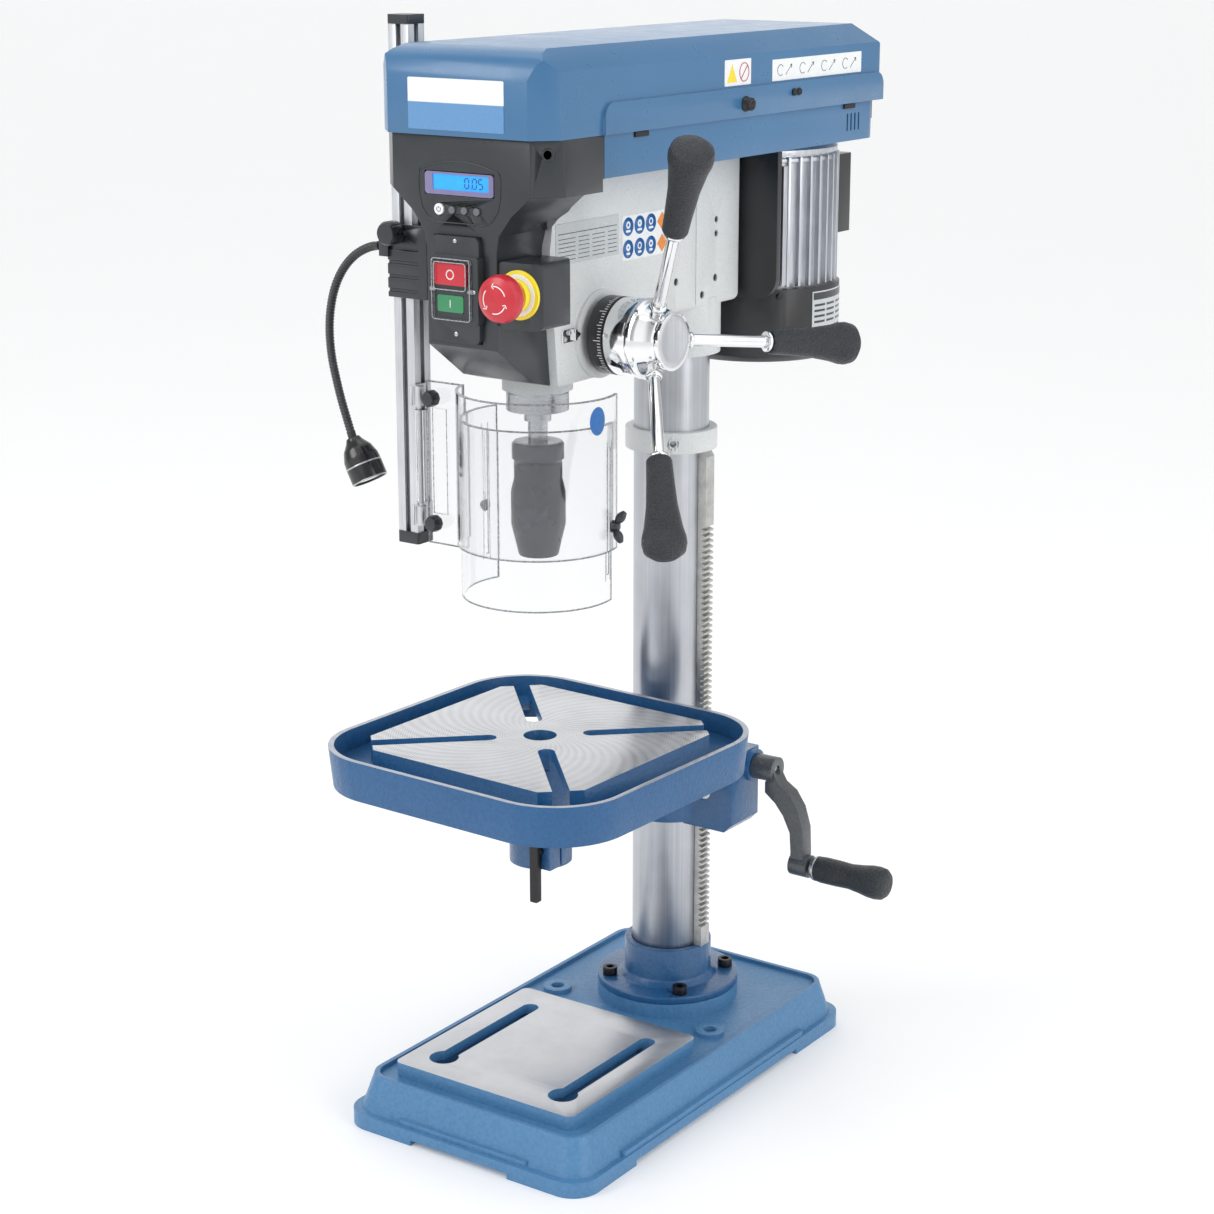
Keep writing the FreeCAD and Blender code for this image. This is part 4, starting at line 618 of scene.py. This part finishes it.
def build_display():
    """Bezel, screen and figures of the depth display, and the bead round the panel."""
    bm = bmesh.new()
    add_frame(bm, rounded_rectangle(-41.5, 38.5, 974.5, 995.5, 3.5),
              rounded_rectangle(-32, 33, 979, 993.5, 1), PANEL + 1.8, PANEL - 0.9)
    rounded(new_object("display_bezel", bm, "bezel", "frame", False), 0.5)
    bm = bmesh.new()
    add_prism(bm, rounded_rectangle(-32.6, 33.6, 978.4, 994.1, 1), PANEL + 1.2, PANEL + 0.2)
    rounded(new_object("display_screen", bm, "screen", "frame", False), 0.15)
    bm = bmesh.new()
    wide, tall = FIGURE_WIDE, FIGURE_TALL
    bars = {"a": (0, tall, wide, tall), "g": (0, tall / 2, wide, tall / 2), "d": (0, 0, wide, 0),
            "f": (0, tall / 2, 0, tall), "e": (0, 0, 0, tall / 2), "b": (wide, tall / 2, wide, tall),
            "c": (wide, 0, wide, tall / 2)}
    x = 5.0
    for figure in "0.05":
        if figure == ".":
            add_prism(bm, rounded_rectangle(x - 0.2, x + 0.7, 981.2, 982.1, 0.2, 3), PANEL + 0.2, PANEL - 0.1)
            x += 1.6
            continue
        for key in FIGURE_BARS[figure]:
            x0, z0, x1, z1 = bars[key]
            half_x, half_z = (0.0, 0.5) if z0 == z1 else (0.5, 0.0)
            shrink_x, shrink_z = (0.6, 0.0) if z0 == z1 else (0.0, 0.6)
            outline = rounded_rectangle(x + x0 - half_x + shrink_x, x + x1 + half_x - shrink_x,
                                        FIGURE_FOOT + z0 - half_z + shrink_z,
                                        FIGURE_FOOT + z1 + half_z - shrink_z, 0.3, 3)
            add_prism(bm, outline, PANEL + 0.2, PANEL - 0.1)
        x += wide + FIGURE_GAP
    new_object("display_figures", bm, "digits", "frame", False)
    bm = bmesh.new()
    top = arc_points(-1.5, 884, 122, 112.5, 67.5, 40)
    right = [(46.5, 990), (46.0, 975), (43.0, 962), (36.0, 953), (27.0, 949)]
    left = [(-3 - x, z) for x, z in reversed(right)]
    add_line(bm, [(x, PANEL - 0.1, z) for x, z in top + right + left + top[:1]], 0.75)
    new_object("panel_bead", bm, "black", "frame", True)


def build_power_symbol():
    """Ring and stroke symbol on the power key."""
    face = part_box("power_button")[0].y
    low = (face - COLUMN.y) / MM - 0.05
    x, z = (centre("power_button").x - COLUMN.x) / MM, centre("power_button").z / MM
    bm = bmesh.new()
    add_line(bm, [(px, low, pz) for px, pz in arc_points(x, z, 2.3, 130, 410)], 0.34)
    add_line(bm, [(x, low, z + 0.6), (x, low, z + 2.9)], 0.34)
    new_object("power_symbol", bm, "blue_print", "power_key")


def screw_head(bm, place, axis, radius, height):
    """Round head with a rounded rim and a slightly domed top."""
    profile = [(0, 0), (radius, 0), (radius, height * 0.7), (radius * 0.86, height), (0, height * 1.12)]
    add_lathe(bm, profile, place, axis, 40)


def build_switch():
    """Symbols, screws and clear cover of the no-volt switch."""
    keys = (("stop_symbol", "red_button", "stop_key"), ("start_symbol", "green_button", "start_key"))
    for name, node, body in keys:
        middle = centre(node)
        x, z = (middle.x - COLUMN.x) / MM, middle.z / MM
        face = (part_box(node)[0].y - COLUMN.y) / MM
        bm = bmesh.new()
        if node == "red_button":
            ring = arc_points(x, z, 4.2, 0, 360, 32)
            add_line(bm, [(px, face - 0.05, pz) for px, pz in ring], 0.6)
        else:
            add_line(bm, [(x, face - 0.05, z - 3.6), (x, face - 0.05, z + 3.6)], 0.6)
        new_object(name, bm, "white", body, True)
    bm = bmesh.new()
    for z in (846, 933):
        screw_head(bm, at(-4, PANEL - 3.7, z), (0, -1, 0), 2.4, 1.6)
    for x in (-25.6, 22.5):
        screw_head(bm, at(x, PANEL - 10, 888), (0, -1, 0), 1.9, 1.2)
    new_object("switch_screws", bm, "steel", "frame", True)
    bm = bmesh.new()
    outer, inner = rounded_rectangle(-26, 18.5, 860, 917, 3), rounded_rectangle(-25, 17.5, 861, 916, 2.4)
    add_frame(bm, outer, inner, PANEL - 9.9, PANEL - 12.6)
    new_object("switch_cover_frame", bm, "clear", "frame", False)
    # rims of the clear switch cover, as grey beads whose tone is a painted edge reflection
    bm = bmesh.new()
    for low in (PANEL - 9.6, PANEL - 12.7):
        rim = [(x, low, z) for x, z in outer]
        add_line(bm, rim + rim[:1], 0.45)
    hood = [(x, PANEL - 14.2, z) for x, z in rounded_rectangle(-22.5, 15, 888.5, 914, 3)]
    add_line(bm, hood + hood[:1], 0.5)
    for x, z in ((-26, 888), (18.5, 888)):
        add_line(bm, [(x - 2.4, PANEL - 10.6, z), (x + 2.4, PANEL - 10.6, z)], 2.2)
    new_object("switch_cover_rim", bm, "clear_edge_reflection", "frame", True)


def build_estop_marks():
    """Turn-to-release arrows on the mushroom head and the pale ring round its neck."""
    x, z = (centre("estop_button").x - COLUMN.x) / MM, centre("estop_button").z / MM
    face = (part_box("estop_button")[0].y - COLUMN.y) / MM
    bm = bmesh.new()
    radius = 12.6
    for start in (20, 140, 260):
        sweep = arc_points(x, z, radius, start, start + 76, 18)
        add_line(bm, [(px, face + 1.25, pz) for px, pz in sweep], 0.55)
        tip, back = math.radians(start + 84), math.radians(start + 74)
        for lean in (-2.6, 2.6):
            reach = radius + lean
            add_line(bm, [(x + radius * math.cos(tip), face + 1.25, z + radius * math.sin(tip)),
                          (x + reach * math.cos(back), face + 1.3, z + reach * math.sin(back))], 0.5)
    new_object("estop_arrows", bm, "white", "estop", True)
    bm = bmesh.new()
    rear = PANEL - 1.2
    add_lathe(bm, [(15.2, 0), (19.5, 0), (19.5, 0.9), (18.8, 1.2), (15.2, 1.2)], at(x, rear, z), (0, -1, 0))
    new_object("estop_ring", bm, "white", "frame", True)


# ---- feed, head and motor ----
HANDLE_X = 109.8                # where the three handle axes meet, mm from the column's axis
HANDLE_LEAN = 25.4              # degrees that the handles lean outwards
HANDLE_TURN = -6.5              # degrees from level to the rear handle


def add_curved_plate(bm, centre_xy, radius, start, end, low, high, thick, steps=16):
    """A thin plate wrapped round an upright cylinder, angles in degrees, sizes in mm."""
    loops = []
    for reach in (radius, radius + thick):
        for z in (low, high):
            loop = []
            for step in range(steps + 1):
                angle = math.radians(start + (end - start) * step / steps)
                loop.append(bm.verts.new(at(centre_xy[0] + reach * math.cos(angle),
                                            centre_xy[1] + reach * math.sin(angle), z)))
            loops.append(loop)
    inner_low, inner_high, outer_low, outer_high = loops
    pairs = ((inner_low, inner_high), (inner_high, outer_high), (outer_high, outer_low),
             (outer_low, inner_low))
    for one, two in pairs:
        for step in range(steps):
            bm.faces.new((one[step], one[step + 1], two[step + 1], two[step]))
    for step in (0, steps):
        bm.faces.new((inner_low[step], inner_high[step], outer_high[step], outer_low[step]))


def build_feed_details():
    """Hub disc, depth ring's graduations and pointer, collars of the handles, ferrule of the crank grip."""
    y, z = (HUB.y - COLUMN.y) / MM, HUB.z / MM
    face = (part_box("feed_hub")[1].x - COLUMN.x) / MM
    bm = bmesh.new()
    add_lathe(bm, [(0, -0.4), (25.5, -0.4), (25.5, 0.1), (24.6, 0.5), (20, 0.45), (19.5, 0.25), (0, 0.3)],
              at(face, y, z), (1, 0, 0), 96)
    new_object("hub_disc", bm, "alloy", "feed", True)
    low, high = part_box("depth_ring")
    radius = (high.z - low.z) / 2 / MM
    x1 = (high.x - COLUMN.x) / MM
    bm = bmesh.new()
    for tick in range(80):
        angle = math.radians(4.5 * tick)
        length = 8.0 if tick % 10 == 0 else 5.5 if tick % 5 == 0 else 3.6
        half = 0.35 / radius
        corners = []
        for offset in (-half, half):
            for reach in (radius - 0.4, radius + 0.12):
                corners.append((y + reach * math.cos(angle + offset), z + reach * math.sin(angle + offset)))
        outline = [corners[0], corners[1], corners[3], corners[2]]
        add_prism(bm, outline, x1 - 0.6 - length, x1 - 0.6, "x")
    new_object("depth_graduations", bm, "white", "scale_ring", False)
    bm = bmesh.new()
    foot, arm, tip = HEAD_FACE + 0.03, 52.2, 55.4
    add_prism(bm, rounded_rectangle(-269, -248.5, 829, 842, 2.5), foot, arm, "x")
    add_prism(bm, [(-250, 831), (-243.5, 834.5), (-243.5, 836.5), (-250, 840)], tip - 2, tip, "x")
    add_prism(bm, rounded_rectangle(-252.5, -248.5, 830, 841, 1), foot, tip, "x")
    rounded(new_object("depth_pointer", bm, "chrome", "frame", False), 0.6)
    bm = bmesh.new()
    for screw_y, screw_z in ((-265.2, 832.6), (-258.8, 838.4)):
        add_lathe(bm, [(0, 0), (2.5, 0), (2.5, 1.2), (1.8, 1.9), (0, 2.1)], at(arm, screw_y, screw_z),
                  (1, 0, 0), 28)
    new_object("pointer_screws", bm, "steel", "frame", True)
    bm = bmesh.new()
    lean = math.radians(HANDLE_LEAN)
    base = at(HANDLE_X, y, z)
    for turn in (0, 120, 240):
        angle = math.radians(HANDLE_TURN + turn)
        axis = Vector((math.sin(lean), math.cos(lean) * math.cos(angle), math.cos(lean) * math.sin(angle)))
        add_lathe(bm, [(6.2, 131.5), (9.6, 131.5), (10.2, 132.3), (10.2, 135.2), (9.6, 135.9), (6.2, 135.9)],
                  base, axis)
        add_lathe(bm, [(6.2, 40), (8.2, 40), (8.2, 44), (7.4, 45), (6.2, 45)], base, axis)
    new_object("handle_collars", bm, "chrome", "feed", True)
    low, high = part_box("crank_grip")
    pin = Vector((low.x, (low.y + high.y) / 2, (low.z + high.z) / 2))
    bm = bmesh.new()
    ferrule = [(8, -0.9), (11.6, -0.9), (12.1, -0.4), (13.5, 2.6), (13.7, 3.2), (13.7, 4.4), (13.4, 4.8)]
    add_lathe(bm, ferrule, pin, (1, 0, 0))
    new_object("crank_ferrule", bm, "steel", "crank_handle", True)


def build_signs():
    """Plates and printed signs on the side of the head, all without lettering."""
    face = HEAD_FACE
    bm = bmesh.new()
    add_prism(bm, rounded_rectangle(-277, -172, 904, 943, 1.5), face, face + 0.48, "x")
    rounded(new_object("side_plate", bm, "grey_label", "frame", False), 0.15)
    bm = bmesh.new()
    add_prism(bm, rounded_rectangle(-166, -86, 896, 940, 2), face, face + 0.38, "x")
    rounded(new_object("sign_plate", bm, "white_label", "frame", False), 0.12)
    print_face = face + 0.38
    marks = [(y, z) for y in (-156, -136, -116) for z in (907, 929)]
    bm = bmesh.new()
    for y, z in marks:
        add_lathe(bm, [(0, 0), (9.1, 0), (9.1, 0.12), (0, 0.14)], at(print_face, y, z), (1, 0, 0), 48)
    new_object("sign_discs", bm, "blue_print", "frame", True)
    bm = bmesh.new()
    over = print_face + 0.14
    for index, (y, z) in enumerate(marks):
        inner, half = 1.2 + 0.5 * (index % 3), 3 + index % 2
        add_lathe(bm, [(inner, 0), (3.6, 0), (3.6, 0.1), (inner, 0.1)], at(over, y, z + 1.6), (1, 0, 0), 40)
        add_prism(bm, rounded_rectangle(y - half, y + half, z - 5.6, z - 3.4, 0.7, 3), over, over + 0.1, "x")
    new_object("sign_shapes", bm, "white_label", "frame", False)
    bm = bmesh.new()
    for z in (907, 929):
        diamond = [(-105, z), (-96, z - 9), (-87, z), (-96, z + 9)]
        add_prism(bm, diamond, print_face + 0.02, print_face + 0.12, "x")
    new_object("sign_diamonds", bm, "orange_print", "frame", False)
    bm = bmesh.new()
    low, high = face + 0.48, face + 0.54
    for z in (908, 912, 916, 920, 924, 928):
        for y0, y1 in ((-273, -245), (-240, -222), (-217, -196), (-191, -176)):
            add_prism(bm, rounded_rectangle(y0, y1, z - 0.35, z + 0.35, 0.2, 2), low, high, "x")
    add_prism(bm, rounded_rectangle(-273, -176, 932.6, 933.4, 0.2, 2), low, high, "x")
    new_object("side_plate_rules", bm, "dark_print", "frame", False)


def build_lid_signs():
    """Front plate and side signs of the lid, all without lettering."""
    bm = bmesh.new()
    add_prism(bm, rounded_rectangle(-56, 55, 1034, 1081, 1.5), LID_FRONT, LID_FRONT - 0.58)
    rounded(new_object("lid_front_plate", bm, "front_label", "lid", False), 0.2)
    face = LID_FACE + 0.38
    bm = bmesh.new()
    add_prism(bm, rounded_rectangle(-66, -17, 1060.5, 1086, 1), LID_FACE, face, "x")
    add_prism(bm, rounded_rectangle(24, 206, 1060.5, 1082, 1), LID_FACE, face, "x")
    rounded(new_object("lid_signs", bm, "white_label", "lid", False), 0.12)
    bm = bmesh.new()
    add_prism(bm, [(-62, 1064), (-43, 1064), (-52.5, 1082)], face, face + 0.1, "x")
    new_object("lid_sign_triangle", bm, "yellow", "lid", False)
    bm = bmesh.new()
    line = face + 0.1
    turns = [2 * math.pi * step / 40 for step in range(41)]
    add_line(bm, [(line, -30 + 8.6 * math.cos(a), 1073 + 9 * math.sin(a)) for a in turns], 0.45)
    add_line(bm, [(line, -36, 1066.6), (line, -24, 1079.4)], 0.45)
    new_object("lid_sign_ring", bm, "red", "lid", True)
    bm = bmesh.new()
    line = face + 0.05
    turns = [math.pi * (0.2 + 1.5 * step / 20) for step in range(21)]
    for y in (40, 84, 128, 172):
        add_line(bm, [(line, y + 6 * math.cos(a), 1071 + 5.4 * math.sin(a)) for a in turns], 0.32)
        tip = (line, y + 22, 1076)
        add_line(bm, [(line, y + 10, 1066), tip], 0.32)
        add_line(bm, [tip, (line, y + 18.4, 1075.4)], 0.32)
        add_line(bm, [tip, (line, y + 21, 1072.4)], 0.32)
    new_object("lid_sign_lines", bm, "dark_print", "lid", True)


def build_head_screws():
    """Set screws of the head, screws and catches of the lid, eyelet of the housing."""
    bm = bmesh.new()
    for y, z, radius in ((6, 905.6, 3.3), (6, 920, 3.3), (-69, 864, 3.8), (5, 860, 3.8), (-20, 845, 3.8)):
        profile = [(0, 0), (radius, 0), (radius, 3), (radius * 0.5, 3.2), (radius * 0.48, 1), (0, 0.8)]
        add_lathe(bm, profile, at(45.5, y, z), (1, 0, 0), 24)
    new_object("head_set_screws", bm, "oxide", "frame", True)
    bm = bmesh.new()
    knob = [(0, 0), (7.6, 0), (7.6, 1.2), (6.4, 1.5), (6.4, 7.6), (5.8, 8.4), (3.2, 8.4), (3.0, 4.2), (0, 4)]
    add_lathe(bm, knob, at(LID_SCREW_FACE, -31.5, 1042), (1, 0, 0), 48)
    for y in (61.5, 71):
        add_lathe(bm, [(0, 0), (3.7, 0), (3.9, 1.2), (3.0, 2.8), (1.6, 3.1), (1.5, 1.8), (0, 1.8)],
                  at(LID_SCREW_FACE, y, 1048), (1, 0, 0), 32)
    new_object("lid_screws", bm, "oxide", "lid", True)
    bm = bmesh.new()
    for y in (-224, 170):
        add_prism(bm, rounded_rectangle(y, y + 23, 1023.4, 1028.4, 1.2), 102.9, 105.2, "x")
    rounded(new_object("lid_catches", bm, "oxide", "frame", False), 0.4)
    bm = bmesh.new()
    add_lathe(bm, [(4.2, -1.4), (5.6, -1.2), (6.0, -0.4), (5.4, 0.25), (4.6, 0.1), (4.2, -0.8)],
              at(92.2, -345.6, 1016), (22, -23, 0), 32)
    new_object("housing_eyelet", bm, "black", "frame", True)


def build_motor_details():
    """Cover screws, rating plate and the bright band round the motor."""
    x, y = (MOTOR.x - COLUMN.x) / MM, (MOTOR.y - COLUMN.y) / MM
    cover = 91.0                # outer radius of the fan cover
    bm = bmesh.new()
    for turn in (-43, 47, 137, 227):
        angle = math.radians(turn)
        out = Vector((math.cos(angle), math.sin(angle), 0))
        screw_head(bm, at(x + cover * out.x, y + cover * out.y, 829), out, 3.2, 2.2)
    new_object("fan_cover_screws", bm, "oxide", "frame", True)
    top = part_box("fan_cover")[1].z / MM
    bm = bmesh.new()
    add_curved_plate(bm, (x, y), cover + 0.06, -17, 27, top - 44, top - 5, 0.5)
    new_object("rating_plate", bm, "grey_label", "frame", False)
    bm = bmesh.new()
    face = cover + 0.56
    add_curved_plate(bm, (x, y), face, -16, 26, top - 14, top - 6.5, 0.08)
    for row in range(4):
        z = top - 20 - 6 * row
        for start, end in ((-15, -4), (-2, 9), (12, 24)):
            add_curved_plate(bm, (x, y), face, start, end, z - 1.2, z + 1.2, 0.06)
    new_object("rating_plate_rules", bm, "dark_print", "frame", False)
    bm = bmesh.new()
    band = [(82.4, 0), (84.6, 0), (85.2, 0.8), (85.2, 4.2), (84.6, 5), (82.4, 5)]
    add_lathe(bm, band, at(x, y, 969), (0, 0, 1), 128)
    new_object("motor_band", bm, "alloy", "frame", True)


# ---- shield and lamp ----
SHIELD_R = 81.0                 # outside of the upper shield
NUT_TURN = 10.0                 # degrees round the shield
NUT_Z = 645.0


def build_guard_details():
    """Thumb screws, wing nut, knob and plain badge of the shield."""
    bm = bmesh.new()
    for x, z in ((-108, 759), (-107, 631)):
        add_lathe(bm, [(0, 0), (5.2, 0), (5.2, 2), (8.4, 3.4), (9, 6), (8.2, 13), (6.8, 15), (0, 15.8)],
                  at(x, CLIP_FACE, z), (0, -1, 0), 9)
    rounded(new_object("shield_thumb_screws", bm, "black", "shield", True), 0.7)
    nut = [(0, 0.02), (6.2, 0.02), (6.2, 1.1), (4.4, 1.4), (4.4, 6), (3.6, 7.4), (0, 7.6)]
    bm = bmesh.new()
    for turn in (NUT_TURN, 180 - NUT_TURN):
        angle = math.radians(turn)
        out = Vector((math.cos(angle), math.sin(angle), 0))
        base = at(SHIELD_R * out.x, SPINDLE_Y + SHIELD_R * out.y, NUT_Z)
        add_lathe(bm, nut, base, out, 32)
    new_object("shield_nuts", bm, "black", "shield", True)
    bm = bmesh.new()
    angle = math.radians(NUT_TURN)
    out = Vector((math.cos(angle), math.sin(angle), 0))
    across = Vector((-out.y, out.x, 0))
    middle = at(SHIELD_R * out.x, SPINDLE_Y + SHIELD_R * out.y, NUT_Z)
    for side in (-1, 1):
        points, radii = [], []
        for step in range(9):
            share = step / 8
            point = middle + out * ((4 + 7.5 * share) * MM)
            points.append(point + (across * 0.3 + Vector((0, 0, 1))) * (side * (3.4 + 11 * share) * MM))
            radii.append((2.4 + 2.4 * math.sin(math.pi * min(1, share * 1.02))) * MM)
        add_sweep(bm, points, radii, 14)
    new_object("shield_wing_nut", bm, "black", "shield", True)
    bm = bmesh.new()
    rows = 10
    grid = []
    for ring in range(rows + 1):
        circle = []
        for step in range(48):
            turn = 2 * math.pi * step / 48
            phi = math.radians(-8 + 7.5 * ring / rows * math.cos(turn))
            radius = 81.06 + 0.14 * (1 - (ring / rows) ** 8)
            circle.append(bm.verts.new(at(radius * math.cos(phi), SPINDLE_Y + radius * math.sin(phi),
                                          754 + 14 * ring / rows * math.sin(turn))))
        grid.append(circle)
    for low, high in zip(grid, grid[1:]):
        for step in range(48):
            after = (step + 1) % 48
            bm.faces.new((low[step], low[after], high[after], high[step]))
    bmesh.ops.remove_doubles(bm, verts=bm.verts, dist=1e-7)
    new_object("shield_badge", bm, "blue_print", "shield", True)


def arc_path(radius, z, start, end, steps=48):
    """Points (x, y, z) in mm along an arc about the spindle axis, angles in degrees."""
    return [(x, y, z) for x, y in arc_points(0, SPINDLE_Y, radius, start, end, steps)]


def upright(radius, turn, levels):
    """Two points of an upright line on a cylinder about the spindle axis."""
    return [arc_path(radius, z, turn, turn, 1)[0] for z in levels]


def build_guard_edges():
    """Rims and stiffening ribs of the two clear shields, drawn as grey beads whose tone is a painted edge
    reflection.
    """
    bm = bmesh.new()
    levels = (620.6, 774.4)
    for z in levels:
        add_line(bm, arc_path(79.5, z, 196, 379), 0.75)
    for turn in (195.6, 379.4):
        add_line(bm, upright(79.5, turn, levels), 0.75)
    levels = (608.6, 774.4)
    for x in (-120, -78):
        add_line(bm, [(x, -262.5, z) for z in levels], 0.75)
    for z in levels:
        add_line(bm, [(-120, -262.5, z), (-78, -262.5, z)], 0.75)
    add_line(bm, [(-112.5, -264.2, 640), (-112.5, -264.2, 748), (-95, -264.2, 748), (-95, -264.2, 640),
                  (-112.5, -264.2, 640)], 0.45)
    new_object("shield_edges", bm, "clear_edge_reflection", "shield", True)
    bm = bmesh.new()
    levels = (568.6, 747.4)
    for z in levels:
        add_line(bm, arc_path(75.9, z, 161, 374), 0.75)
    for turn in (160.6, 374.4):
        add_line(bm, upright(75.9, turn, levels), 0.75)
    for turn in (168.6, 175.4, 364.6, 371.4):
        add_line(bm, upright(77.5, turn, (590, 731)), 0.35)
    new_object("inner_shield_edges", bm, "clear_edge_reflection", "inner_shield", True)


def spline(points, step):
    """Evenly spaced points along a smooth curve through points."""
    path = []
    padded = [points[0] * 2 - points[1]] + list(points) + [points[-1] * 2 - points[-2]]
    for index in range(1, len(padded) - 2):
        p0, p1, p2, p3 = padded[index - 1:index + 3]
        count = max(1, round((p2 - p1).length / step))
        for part in range(count):
            t = part / count
            path.append(0.5 * (2 * p1 + (p2 - p0) * t + (2 * p0 - 5 * p1 + 4 * p2 - p3) * t * t +
                               (3 * p1 - p0 - 3 * p2 + p3) * t ** 3))
    path.append(points[-1])
    return path


LAMP_Y = -262.0
LAMP_ROUTE = ((-178, 905), (-192, 902), (-210, 893), (-226, 878), (-238, 858), (-245, 834), (-247, 810),
              (-245, 786), (-240, 764), (-234, 743), (-227, 723), (-220, 704))
LAMP_STEP = 0.55                # mm between the rings of the arm's mesh
SLEEVE_STEPS = 12               # plain sleeve at each end of the arm
RIB_STEPS = 6                   # one rib of the arm


def build_lamp():
    """Ribbed flexible arm, bezel ring and lens of the lamp."""
    points = spline([at(x, LAMP_Y, z) for x, z in LAMP_ROUTE], LAMP_STEP * MM)
    bm = bmesh.new()
    radii = []
    for index in range(len(points)):
        if index < SLEEVE_STEPS or index > len(points) - SLEEVE_STEPS:
            radii.append(4.55 * MM)
        else:
            radii.append((3.7 + 1.0 * abs(math.sin(math.pi * index / RIB_STEPS))) * MM)
    add_sweep(bm, points, radii, 24)
    arm = new_object("lamp_flexible_arm", bm, "gooseneck", "lamp", True)
    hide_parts("lamp_arm")
    axis = Vector((23.5, 0, -44)).normalized()
    start = at(LAMP_ROUTE[-1][0], LAMP_Y, LAMP_ROUTE[-1][1])
    bm = bmesh.new()
    add_lathe(bm, [(0, 43.1), (16.8, 43.1), (16.6, 44.2), (12, 45.4), (6, 46), (0, 46.2)], start, axis, 72)
    new_object("lamp_lens", bm, "lens", "lamp", True)
    bm = bmesh.new()
    add_lathe(bm, [(17.1, 45.4), (18.9, 45.8), (19.1, 46.6), (18.4, 47.3), (17.3, 47.2)], start, axis, 72)
    add_lathe(bm, [(18.9, 29.2), (19.25, 29.5), (19.25, 30.6), (18.9, 30.9)], start, axis, 72)
    new_object("lamp_rings", bm, "steel", "lamp", True)


# ---- studio ----
WORLD_TURN = 0.6                # turn of the room's darker walls, radians
WORLD_WAVES = 3.0               # darker walls round the part
CAMERA_PLACE = (1.4748, -2.1693, 1.2463)
CAMERA_DOWN = 15.59             # degrees below level
CAMERA_TURN = 34.82             # degrees round from the operator's side
LENS = 76.13


def plain_floor():
    """Pale studio floor that fills the picture."""
    m = Maker("studio_floor")
    cloud = m.noise(2.0, 3.0)
    m.set(Base_Color=m.blend(m.remap(cloud, 0.3, 0.7), (0.90, 0.90, 0.90), (0.91, 0.91, 0.91)), Roughness=0.7,
          Specular_IOR_Level=0.2, Emission_Color=(1, 1, 1), Emission_Strength=0.13)
    bm = bmesh.new()
    rows = [[bm.verts.new((x, y, -0.0002)) for x in (-60.0, -4.0, 4.0, 60.0)]
            for y in (-60.0, -3.0, 4.0, 90.0)]
    for low, high in zip(rows, rows[1:]):
        for side in range(3):
            bm.faces.new((low[side], low[side + 1], high[side + 1], high[side]))
    mesh = bpy.data.meshes.new("studio_floor")
    bm.to_mesh(mesh)
    bm.free()
    floor = bpy.data.objects.new("studio_floor", mesh)
    bpy.context.scene.collection.objects.link(floor)
    mesh.materials.append(m.material)


def studio_world():
    """Bright room with softly darker walls in two directions, so that round metal shows bands."""
    world = bpy.data.worlds.new("studio")
    world.use_nodes = True
    tree = world.node_tree
    direction = tree.nodes.new("ShaderNodeTexCoord").outputs["Generated"]
    split = tree.nodes.new("ShaderNodeSeparateXYZ")
    tree.links.new(direction, split.inputs[0])

    def step(operation, a, b):
        node = tree.nodes.new("ShaderNodeMath")
        node.operation = operation
        for socket, value in zip(node.inputs, (a, b)):
            if isinstance(value, bpy.types.NodeSocket):
                tree.links.new(value, socket)
            else:
                socket.default_value = value
        return node.outputs[0]
    azimuth = step("ARCTAN2", split.outputs[1], split.outputs[0])
    wave = step("SINE", step("ADD", step("MULTIPLY", azimuth, WORLD_WAVES), WORLD_TURN), 0.0)
    level = tree.nodes.new("ShaderNodeMapRange")
    level.interpolation_type = "SMOOTHSTEP"
    tree.links.new(wave, level.inputs["Value"])
    level.inputs["From Min"].default_value = -0.9
    level.inputs["From Max"].default_value = 0.5
    level.inputs["To Min"].default_value = 0.5
    level.inputs["To Max"].default_value = 1.16
    tree.links.new(level.outputs[0], tree.nodes["Background"].inputs["Strength"])
    tree.nodes["Background"].inputs["Color"].default_value = (0.985, 0.992, 1.0, 1.0)
    bpy.context.scene.world = world


def area_light(name, place, target, size, power):
    """A rectangular soft light that looks at a target."""
    data = bpy.data.lights.new(name, "AREA")
    data.shape = "RECTANGLE"
    data.size, data.size_y = size
    data.energy = power
    light = bpy.data.objects.new(name, data)
    light.location = place
    light.rotation_euler = (Vector(target) - Vector(place)).to_track_quat("-Z", "Y").to_euler()
    bpy.context.scene.collection.objects.link(light)


def build_studio():
    """World, lights, camera and picture settings."""
    scene = bpy.context.scene
    studio_world()
    middle = (0, 0, 0.6)
    area_light("key", (-1.6, -2.4, 2.6), middle, (1.6, 1.6), 30)
    area_light("right", (2.7, -0.6, 1.7), middle, (0.9, 2.2), 16)
    area_light("top", (0.2, 0.2, 3.2), middle, (2.4, 2.4), 10)
    data = bpy.data.cameras.new("camera")
    data.lens = LENS
    data.sensor_width = 36.0
    camera = bpy.data.objects.new("camera", data)
    camera.location = CAMERA_PLACE
    camera.rotation_euler = (math.radians(90 - CAMERA_DOWN), 0, math.radians(CAMERA_TURN))
    scene.collection.objects.link(camera)
    scene.camera = camera
    scene.view_settings.view_transform = "Standard"


finish_cad_nodes()
build_display()
build_power_symbol()
build_switch()
build_estop_marks()
build_feed_details()
build_head_screws()
build_signs()
build_lid_signs()
build_motor_details()
build_guard_details()
build_guard_edges()
build_lamp()
plain_floor()
build_studio()
